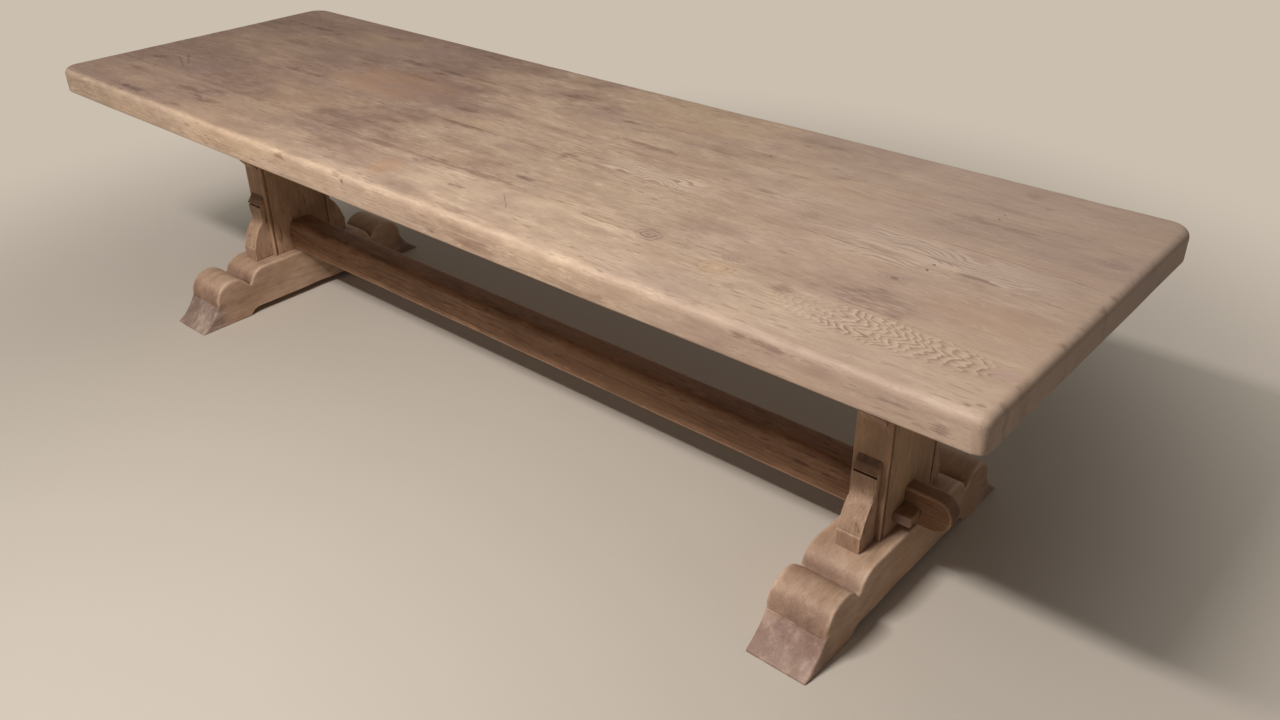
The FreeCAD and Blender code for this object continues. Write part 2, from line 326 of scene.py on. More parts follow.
ownFields = {  # the same, for what each piece of wood has to itself
    "sway": ((0.9, 6, 6), 2, 0.50),
    "heave": ((1.7, 9, 5), 1, 0.50),
    "ripple": ((12, 50, 50), 2, 0.50),
    "fleck": ((22, 150, 150), 2, 0.50),
    "wisp": ((24, 310, 310), 3, 0.60),
    "fibre": ((12, 280, 280), 2, 0.60),
    "pore": ((75, 950, 950), 1, 0.40),
}
seedStep = (7.31, 3.17)  # how far apart the pieces lie in those fields

oakMasks = {  # limits between which a field lets a mark show
    "pores": (0.60, 0.76),
    "poresWhere": (0.40, 0.66),
    "ticks": (0.58, 0.70),
    "ticksWhere": (0.40, 0.58),
    "darkFlecks": (0.58, 0.68),
    "darkFlecksWhere": (0.42, 0.58),
    "paleFlecks": (0.30, 0.42),
    "paleFlecksWhere": (0.46, 0.60),
    "stained": (0.50, 0.72),
    "warmed": (0.48, 0.70),
    "undersides": (-0.97, -0.80),  # of the normal's height
    "sides": (0.55, 0.95),
    "front": (0.2, 0.6),
    "shadeFacing": (0.2, 0.8),
    "cutEnds": (0.62, 0.92),
}

waveStyle = {"pitch": 0.0120, "whitening": 0.36, "tint": tone(198, 178, 163), "fade": 0.12}
flameStyle = {
    "pitch": 0.0185,
    "bow": 0.020,
    "crests": ((6, 46, 46), 2),  # a field whose lumps line up along the grain
    "zigzag": 0.078,
    "pale": 0.30,
    "dark": 0.40,
}
knotStyle = {"stretch": 0.70, "turns": 1.1, "stain": 0.22, "warmth": 0.45}
toeStyle = {"share": 0.60, "creaseHalf": (0.0004, 0.0022), "scuffs": 0.30, "capShade": 0.10, "sheen": 0.06}
reliefDepth = 0.0009
specular = 0.24


def swings(grain, **amounts):  # fields about their middles, each times its amount
    return sum((getattr(grain, name) - 0.5) * amount for name, amount in amounts.items())


def ellipse(first, second, middle, halves):  # 0 in its middle, 1 on its edge
    offFirst = (first - middle[0]) / halves[0]
    offSecond = (second - middle[1]) / halves[1]
    return offFirst * offFirst + offSecond * offSecond


def readGrain(wood, look):  # places along and across the grain, the way the face looks, and the fields
    x, y, z = wood.objectPlace()
    along, across, depth = {"X": (x, y, z), "Y": (y, x, z), "Z": (z, x, y)}[look["grain"]]
    shared = wood.vector(along, across, depth)
    own = wood.vector(along + look["seed"] * seedStep[0], across + look["seed"] * seedStep[1], depth)
    fields = {name: wood.noise(shared, *kind) for name, kind in oakFields.items()}
    fields |= {name: wood.noise(own, *kind) for name, kind in ownFields.items()}
    normal = wood.node("ShaderNodeNewGeometry", {}, {}, "Normal")
    facing = {axis: wood.node("ShaderNodeSeparateXYZ", {}, {0: normal}, axis) for axis in "XYZ"}
    return SimpleNamespace(
        along=along,
        across=across,
        depth=depth,
        place=shared,
        y=y,
        z=z,
        facing=facing["Y"],
        cut=abs(facing[look["grain"]]).smooth(*oakMasks["cutEnds"]),
        used=facing["Z"].smooth(*oakMasks["undersides"]),  # not the undersides
        **fields,
    )


def masked(field, where, name):  # what of a field lies past its limits, where another one lets it
    return field.smooth(*oakMasks[name]) * where.smooth(*oakMasks[name + "Where"])


def oakRings(grain, look):
    offAcross = grain.across - look["heart"][0] + swings(grain, sway=look["sway"])
    offDepth = grain.depth - look["heart"][1] + swings(grain, heave=look["sway"])
    offDepth = offDepth + grain.along * look["tilt"]
    radius = (offAcross * offAcross + offDepth * offDepth).root()
    phase = (radius / look["ring"] + swings(grain, ripple=look["ripple"])).fraction()
    early = (1 - phase.smooth(0.08, 0.75)) * phase.smooth(0.0, 0.10)
    rings = (early - 0.22) * grain.sway.smooth(*look["ringPatch"]) * grain.fibre.smooth(0.25, 0.60)
    return rings * (1 - abs(grain.along).smooth(*look["ringEnd"]))


def oakFlecks(grain):
    dark = masked(grain.fleck, grain.blotch, "darkFlecks")
    pale = 1 - grain.fleck.smooth(*oakMasks["paleFlecks"])
    pale = pale * grain.mottle.smooth(*oakMasks["paleFlecksWhere"])
    return dark - pale * 0.6


def oakKnots(grain, look):  # dark eyes, the rings round them, and shares of stain and of warm colour
    eyes, swirls, halo, glow = 0.0, 0.0, 0.0, 0.0
    for along, across, size, darkness, swirl, warmth in look["knots"]:
        offAlong = (grain.along - along) * knotStyle["stretch"]
        offSide = grain.across - across
        reach = (offAlong * offAlong + offSide * offSide).root() / size
        reach = reach + swings(grain, mottle=1.6, warp=2.4)
        near = 1 - reach.smooth(1.2, 2.8)
        arcs = 1 - (reach * knotStyle["turns"]).fraction().smooth(0.04, 0.50)
        arcs = arcs * reach.smooth(0.3, 0.8)
        swirls = arcs * near * grain.fleck.smooth(0.30, 0.55) * swirl + swirls
        eyes = (1 - reach.smooth(0.15, 0.60)) * darkness + eyes
        halo = near * (1 - warmth) * knotStyle["stain"] + halo
        glow = near * warmth * knotStyle["warmth"] + glow
    return eyes, swirls, halo, glow


def oakMarks(grain, look):  # smudges, marks on the front face, bands by height (painted shade on the bracket caps, a pale rubbed line on the rail), strokes, and painted shade on the front and back faces
    # painted shade on the faces that look to the front and back
    marks = abs(grain.facing).smooth(*oakMasks["sides"]) * look["sideShade"]
    front = (0 - grain.facing).smooth(*oakMasks["front"])
    for along, height, halfLength, halfHeight, darkness in look["faceMarks"]:
        spot = ellipse(grain.along, grain.depth, (along, height), (halfLength, halfHeight)) * 0.7
        spot = spot + swings(grain, wisp=3.6, mottle=2.2)
        marks = (1 - spot.smooth(0.0, 1.0)) * front * darkness + marks
    torn = swings(grain, wisp=2.6, fleck=2.6, mottle=2.4)
    for along, across, halfLength, halfWidth, darkness in look["smudges"]:
        spot = ellipse(grain.along, grain.across, (along, across), (halfLength, halfWidth)) * 0.42 + torn
        marks = (1 - spot.smooth(-0.3, 1.0)) * darkness + marks
    for low, high, darkness in look["bands"]:
        height = grain.z + swings(grain, mottle=0.012)
        inside = height.smooth(low - 0.003, low + 0.003)
        marks = inside * (1 - height.smooth(high - 0.003, high + 0.003)) * darkness + marks
    aside = grain.depth if look["strokesUpright"] else grain.across
    for startAlong, startAside, endAlong, endAside, halfWidth, darkness in look["strokes"]:
        share = (grain.along - startAlong) / (endAlong - startAlong)
        offLine = aside - startAside - share * (endAside - startAside)
        offLine = abs(offLine + swings(grain, blotch=0.012))
        inside = share.smooth(-0.05, 0.20) * (1 - share.smooth(0.75, 1.05))
        inside = inside * grain.mottle.smooth(0.28, 0.46)
        marks = inside * (1 - offLine.smooth(halfWidth * 0.2, halfWidth)) * darkness + marks
    return marks


def oakWaves(grain, look):  # curly grain: what it adds, and how far it whitens
    gain, whitened = 0.0, 0.0
    for start, end, middle, halfWidth, strength in look["waves"]:
        line = grain.across + swings(grain, warp=0.11, mottle=0.007)
        line = (line / waveStyle["pitch"]).fraction()
        line = line.smooth(0.0, 0.30) * (1 - line.smooth(0.45, 1.0))
        offSide = abs(grain.across - middle) / halfWidth + swings(grain, blotch=1.6)
        inside = grain.along.smooth(start, start + waveStyle["fade"])
        inside = inside * (1 - grain.along.smooth(end - waveStyle["fade"], end))
        inside = inside * (1 - offSide.smooth(0.4, 1.0))
        gain = (line - 0.42) * inside * strength + gain
        whitened = line * inside * waveStyle["whitening"] + whitened
    return gain, whitened


def oakFlame(wood, grain, look):  # zigzag figure
    along, across, halfLength, halfWidth = look["flame"]
    offAlong = (grain.along - along) / halfLength
    offSide = (grain.across - across) / halfWidth
    crests = wood.noise(grain.place, *flameStyle["crests"])
    bent = grain.along + offSide * offSide * flameStyle["bow"] + (crests - 0.5) * flameStyle["zigzag"]
    bent = bent + swings(grain, blotch=0.10, mottle=0.008)
    line = (bent / flameStyle["pitch"]).fraction()
    spread = offAlong * offAlong * offAlong * offAlong + offSide * offSide + swings(grain, mottle=1.4)
    inside = (1 - spread.smooth(0.45, 1.10)) * (0.30 + offAlong.smooth(-0.55, -0.30) * 0.70) * grain.used
    inside = inside * (0.55 + grain.streak.smooth(0.35, 0.60) * 0.60)
    pale = line.smooth(0.45, 0.95) * flameStyle["pale"]
    return (pale - (1 - line.smooth(0.10, 0.50)) * flameStyle["dark"]) * inside


def oakToes(grain, look):  # scuffed toes: where they are, how rubbed, and what they add
    reach, top = look["toes"]
    outer = abs(grain.y).smooth(reach - 0.03, reach + 0.01)
    toe = outer * (1 - (grain.z + swings(grain, mottle=0.03)).smooth(top - 0.010, top + 0.006))
    rubbed = (grain.mottle * 0.6 + grain.fibre * 0.3 + grain.blotch * 0.9).smooth(0.70, 1.16)
    scuffs = toe * (grain.mottle + grain.blotch * 0.6).smooth(0.80, 1.0)
    crease = outer * (1 - abs(grain.z - top).smooth(*toeStyle["creaseHalf"]))
    gain = scuffs * toeStyle["scuffs"] - toe * toeStyle["capShade"] + crease * (grain.blotch - 0.54) * 2.4
    return toe, rubbed, gain


def oak(name, **changes):
    look = {**oakDefaults, **changes}
    wood = Finish(bpy.data.materials.new(name))
    grain = readGrain(wood, look)
    rings = oakRings(grain, look)
    pores = masked(grain.pore, grain.mottle, "pores")
    ticks = masked(grain.wisp, grain.mottle, "ticks")
    flecks = oakFlecks(grain)
    eyes, swirls, halo, glow = oakKnots(grain, look)
    edge, hollow = wood.attribute("edge"), wood.attribute("hollow")

    tonal = ("broad", "cloud", "blotch", "mottle", "streak", "fibre")
    value = look["level"] + swings(grain, **{name: look[name] for name in tonal})
    value = value - pores * look["pore"] - rings * look["ringDepth"]
    value = value - flecks * look["fleck"] - ticks * look["tick"]
    value = value - oakMarks(grain, look) * grain.used - eyes - swirls
    shaded = 0.0
    if look["shade"]:
        start, end, darkness = look["shade"]
        shaded = (grain.along + swings(grain, blotch=0.6, cloud=0.8)).smooth(start, end)
        shaded = shaded * (1 - abs(grain.facing).smooth(*oakMasks["shadeFacing"])) * grain.used
        value = value - shaded * darkness
    if look["waves"]:
        curled, whitened = oakWaves(grain, look)
        value = value + curled
    if look["flame"]:
        value = value + oakFlame(wood, grain, look)
    rubbedEdge = edge * (0.45 + (grain.blotch + grain.mottle).smooth(0.80, 1.25) * 0.55)
    value = value + rubbedEdge * look["edgeGain"]
    # hollow: painted shade in creases, kerfs and grooves, and stains at the boards' nails and seams;
    # endLoss darkens end grain, and a negative one paints it lighter as painted light
    value = value - hollow * look["hollowLoss"] - grain.cut * look["endLoss"]
    toe = 0.0
    if look["toes"]:
        toe, rubbed, gain = oakToes(grain, look)
        value = value + gain

    colour = wood.ramp(value, list(zip((0.0, 0.34, 0.62, 0.92), look["colours"])))
    warmed = grain.cloud.smooth(*oakMasks["warmed"]) * look["warmShare"]
    colour = wood.mix(warmed + glow, colour, look["warm"])
    if look["haze"]:
        start, end, share = look["haze"]
        hazed = (grain.along + swings(grain, blotch=0.8)).smooth(start, end) * share
        colour = wood.mix(hazed, colour, look["hazeTint"])
    for along, across, halfLength, halfWidth, share, tint in look["patches"]:
        spot = ellipse(grain.along, grain.across, (along, across), (halfLength, halfWidth))
        spot = spot + swings(grain, blotch=1.6, mottle=1.2)
        colour = wood.mix((1 - spot.smooth(0.1, 1.1)) * share, colour, tint)
    stained = (grain.stains.smooth(*oakMasks["stained"]) + shaded * 0.5 + grain.cut) * look["stainShare"]
    colour = wood.mix(stained + halo, colour, look["stain"])
    if look["waves"]:
        colour = wood.mix(whitened, colour, waveStyle["tint"])
    if look["toes"]:
        colour = wood.mix(toe * toeStyle["share"], colour, wood.mix(rubbed, *look["toeTints"]))

    relief = grain.fibre * 0.20 - pores * 0.45 - rings * 0.20
    relief = relief - eyes * 0.2 - flecks * 0.12 + grain.mottle * 0.3
    roughness = look["roughness"] + swings(grain, fibre=0.16) + pores * 0.12
    roughness = roughness - edge * 0.06 - toe * toeStyle["sheen"]
    return wood.surface(colour, roughness, relief, reliefDepth, {"Specular IOR Level": specular})


# Top boards

topStyle = {
    "cornerRadius": 0.050,  # in plan
    "tightCorner": 0.025,  # the front right one
    "arris": 0.018,  # upper edge
    "underArris": 0.006,
    "seamEase": 0.0004,  # rubbed edge along a seam
    "seamGap": 0.00005,  # half the hairline
    "stepAlong": 0.012,
    "stepAcross": 0.010,
    "stepCorner": 0.006,
    "leastStep": 0.00004,
    "arrisSteps": 7,
    "sideRows": 6,
    "wear": 0.12,  # share by which the arris swells and thins
    "wearLumps": (0.17, 4),  # size and seed
    "waviness": 0.0005,
    "wavyReach": 0.045,  # in from the rim
    "wavyLumps": (0.13, 3),
    "undulation": 0.0004,
    "undulationLumps": ((0.40, 0.10, 1), 5),
    "ripple": 0.4,  # of the undulation
    "rippleLumps": ((0.09, 0.03, 1), 90),  # size, and what is added to the board's seed
    "nailSlice": 0.0001,  # under the tops of the heads
    "nailSpacing": 0.004,  # no two lie closer
    "nailPit": 0.0034,
    "nailPitDepth": 0.0012,
    "pitWall": (0.75, 1.25),  # of its radius
    "pitLines": (-1.4, -1.15, -0.9, -0.65, -0.3, 0.0, 0.3, 0.65, 0.9, 1.15, 1.4),
    "pitReach": 0.01,  # past the board's edge
    "pitStain": (0.8, 1.7),
    "pitDark": 0.2,
    "seamStain": (0.0002, 0.0012),  # distances from the seam
    "seamLumps": (0.11, 60),
    "seamDark": 0.3,
    "rimPale": (0.2, 1.5),  # of the arris
    "sidePale": 0.35,
    "dents": 70,
    "dentDepth": 0.0006,
    "dentSize": (0.012, 0.030),
    "boards": {  # seed, how far the board lies below its highest neighbour
        "front_board": (11, 0.00000),
        "front_inner_board": (12, 0.00020),
        "middle_board": (13, 0.00005),
        "rear_inner_board": (14, 0.00022),
        "rear_board": (15, 0.00008),
    },
}

topHalfLength = cadBox[1].x
topHalfWidth = cadBox[1].y


def nailPlaces():  # where the heads of the nails lie, from the nodes that hold them
    places = []
    for node in ("left_nails", "right_nails"):
        points = readPoints(cadNodes[node].data)
        heads = points[points[:, 2] > points[:, 2].max() - topStyle["nailSlice"]]
        middle = (heads[:, 0].min() + heads[:, 0].max()) / 2
        acrosses = np.sort(heads[:, 1])
        groups = np.split(acrosses, np.where(np.diff(acrosses) > topStyle["nailSpacing"])[0] + 1)
        places += [(middle, (group[0] + group[-1]) / 2) for group in groups]
    return np.array(places)


nails = nailPlaces()
bareSeams = [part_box(node)[1].y for node in ("front_inner_board", "rear_inner_board")]
bareReach = 0.03  # from those seams; the other heads lie under dust and old wax
offSeams = np.min([abs(nails[:, 1] - seam) for seam in bareSeams], axis=0)
bareNails = nails[(nails[:, 0] > 0) & (offSeams < bareReach)]
print("nails found:", len(nails))


def gridLines(low, high, lowRadius, highRadius, step, extra):
    # close together in the rounded edges, wide apart between them
    turn = np.linspace(0, math.pi / 2, topStyle["arrisSteps"] + 1)
    count = math.ceil((high - highRadius - low - lowRadius) / step) + 1
    lines = np.concatenate([
        low + lowRadius * (1 - np.cos(turn)),
        np.linspace(low + lowRadius, high - highRadius, count),
        high - highRadius * (1 - np.cos(turn)),
        [line for line in extra if low + 1.5 * lowRadius < line < high - 1.5 * highRadius],
    ])
    lines = np.sort(lines)
    return lines[np.concatenate([[True], np.diff(lines) > topStyle["leastStep"]])]


def rimDrop(inset, radius):  # fall of a rounded edge, by the distance from its outer face
    short = np.clip(radius - inset, 0, radius)
    return radius - np.sqrt(radius ** 2 - short ** 2)


def boardSurface(x, y, outer, seams, arris, underside, seed):
    # plan places and fall of one face of a board; outer and seams are the Y of its outer and seam edges
    corner = np.where((x > 0) & (y < 0), topStyle["tightCorner"], topStyle["cornerRadius"])
    inset = topHalfLength - abs(x)
    for edgeLine in outer:
        inset = np.minimum(inset, abs(y - edgeLine))
    coreX = np.clip(x, corner - topHalfLength, topHalfLength - corner)
    coreY = np.clip(y, corner - topHalfWidth, topHalfWidth - corner)
    offX, offY = x - coreX, y - coreY
    reach = np.maximum(np.hypot(offX, offY), 1e-9)
    square = np.maximum(abs(offX), abs(offY)) / reach
    flat = np.column_stack([x, y, np.zeros_like(x)])
    wavy = topStyle["waviness"] * (1 + drift(flat, *topStyle["wavyLumps"]))
    shift = wavy * (1 - ease(inset, 0.0, topStyle["wavyReach"])) / reach
    planX = coreX + offX * (square - shift)
    planY = coreY + offY * (square - shift)
    radius = arris * (1 + topStyle["wear"] * drift(flat, *topStyle["wearLumps"]))
    fall = rimDrop(inset, radius)
    for seamLine in seams:
        fall = fall + rimDrop(abs(y - seamLine), topStyle["seamEase"])
    if not underside:
        fall = fall + topFall(x, y, flat, seed)
    return planX, planY, fall, inset


def topFall(x, y, flat, seed):  # hollows, nail pits and dents of the upper face
    rippleSize, rippleSeed = topStyle["rippleLumps"]
    fall = topStyle["undulation"] * (1 + drift(flat, *topStyle["undulationLumps"]))
    ripple = topStyle["undulation"] * topStyle["ripple"]
    fall = fall + ripple * (1 + drift(flat, rippleSize, seed + rippleSeed))
    for nailX, nailY in bareNails:
        distance = np.hypot(x - nailX, y - nailY) / topStyle["nailPit"]
        fall = fall + topStyle["nailPitDepth"] * (1 - ease(distance, *topStyle["pitWall"]))
    chance = np.random.default_rng(seed)
    for dent in range(topStyle["dents"]):
        dentX = chance.uniform(-topHalfLength, topHalfLength)
        dentY = chance.uniform(y.min(), y.max())
        size = chance.uniform(*topStyle["dentSize"])
        depth = topStyle["dentDepth"] * chance.uniform(0.2, 1)
        fall = fall + depth * np.exp(-((x - dentX) ** 2 + (y - dentY) ** 2) / size ** 2)
    return fall


def squeeze(inset, share):  # insets within the arris shrink by that share, those past the corner stay
    stops = [0, topStyle["arris"], topStyle["cornerRadius"], topHalfLength]
    return np.interp(inset, stops, [0, topStyle["arris"] * share, *stops[2:]])


def boardEdges(low, high):  # Y of a board's long edges, their rounding, and which are outer ones or seams
    limits, radii, outer, seams = [], [], [], []
    for line, inward in ((low.y, 1), (high.y, -1)):
        atRim = abs(abs(line) - topHalfWidth) < 1e-4
        limits.append(line if atRim else line + inward * topStyle["seamGap"])
        radii.append(topStyle["arris" if atRim else "seamEase"])
        (outer if atRim else seams).append(limits[-1])
    return limits, radii, outer, seams


def boardLines(limits, radii, pits):  # where the lines of the mesh run, along and across
    nearEnds = np.arange(topStyle["arris"], topStyle["cornerRadius"], topStyle["stepCorner"])
    ring = np.array(topStyle["pitLines"]) * topStyle["nailPit"]
    endRadii = (topStyle["arris"], topStyle["arris"])
    spans = (
        (topHalfLength, (-topHalfLength, topHalfLength), endRadii, topStyle["stepAlong"]),
        (topHalfWidth, limits, radii, topStyle["stepAcross"]),
    )
    lines = []
    for axis, (half, ends, rounding, step) in enumerate(spans):
        atPits = (np.unique(pits[:, axis])[:, None] + ring).ravel()
        extra = np.concatenate([nearEnds - half, half - nearEnds, atPits])
        lines.append(gridLines(*ends, *rounding, step, extra))
    return lines


def boardSkin(upper, lower, countX, countY):  # points and faces of the closed board
    index = np.arange(countX * countY).reshape(countX, countY)
    rim = np.concatenate([index[:, 0], index[-1, 1:], index[-2::-1, -1], index[0, -2:0:-1]])
    rows = [rim]
    points = [upper, lower]
    start = 2 * len(upper)
    for row in range(1, topStyle["sideRows"]):
        part = row / topStyle["sideRows"]
        points.append(upper[rim] * (1 - part) + lower[rim] * part)
        rows.append(np.arange(start, start + len(rim)))
        start += len(rim)
    rows.append(rim + len(upper))
    quads = np.stack([index[:-1, :-1], index[1:, :-1], index[1:, 1:], index[:-1, 1:]], axis=-1)
    quads = quads.reshape(-1, 4)
    faces = [quads, quads[:, ::-1] + len(upper)]
    for above, below in zip(rows, rows[1:]):
        faces.append(np.stack([above, below, np.roll(below, -1), np.roll(above, -1)], axis=-1))
    return np.concatenate(points), np.concatenate(faces).tolist()


def paintBoard(mesh, x, y, inset, seams, pits, seed):  # worn rim, dark pits and seams
    upper = len(x)
    dark = np.zeros(upper)
    for nailX, nailY in pits:
        distance = np.hypot(x - nailX, y - nailY) / topStyle["nailPit"]
        dark += topStyle["pitDark"] * (1 - ease(distance, *topStyle["pitStain"]))
    seamSize, seamSeed = topStyle["seamLumps"]
    shown = 0.45 + 0.45 * drift(np.column_stack([x, y * 0, x * 0]), seamSize, seed + seamSeed)
    for line in seams:
        dark += topStyle["seamDark"] * (1 - ease(abs(y - line), *topStyle["seamStain"])) * shown
    edge = np.zeros(len(mesh.vertices))
    edge[:upper] = 1 - ease(inset / topStyle["arris"], *topStyle["rimPale"])
    edge[2 * upper:] = topStyle["sidePale"]
    hollow = np.zeros(len(mesh.vertices))
    hollow[:upper] = np.clip(dark, 0, 1)
    paintAttribute(mesh, "edge", edge)
    paintAttribute(mesh, "hollow", hollow)


def makeBoard(node, material):
    seed, sink = topStyle["boards"][node]
    low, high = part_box(node)
    limits, radii, outer, seams = boardEdges(low, high)
    reach = topStyle["pitReach"]
    pits = bareNails[(bareNails[:, 1] > low.y - reach) & (bareNails[:, 1] < high.y + reach)]
    linesX, linesY = boardLines(limits, radii, pits)
    x, y = [grid.ravel() for grid in np.meshgrid(linesX, linesY, indexing="ij")]
    planX, planY, fall, inset = boardSurface(x, y, outer, seams, topStyle["arris"], False, seed)
    upper = np.column_stack([planX, planY, high.z - sink - fall])

    share = topStyle["underArris"] / topStyle["arris"]  # the underside's lines crowd closer to the edge
    underX = np.sign(x) * (topHalfLength - squeeze(topHalfLength - abs(x), share))
    underY = y.copy()
    for line in outer:
        underY = line + np.sign(y - line) * squeeze(abs(y - line), share)
    under = boardSurface(underX, underY, outer, seams, topStyle["underArris"], True, seed)
    lower = np.column_stack([under[0], under[1], low.z + under[2]])

    mesh = newMesh(node + "_wood", *boardSkin(upper, lower, len(linesX), len(linesY)))
    paintBoard(mesh, x, y, inset, seams, pits, seed)
    made = addObject(node + "_wood", mesh)
    return dressPiece(made, [node], "table", material)


tan = tone(176, 134, 102)
blush = tone(186, 152, 141)

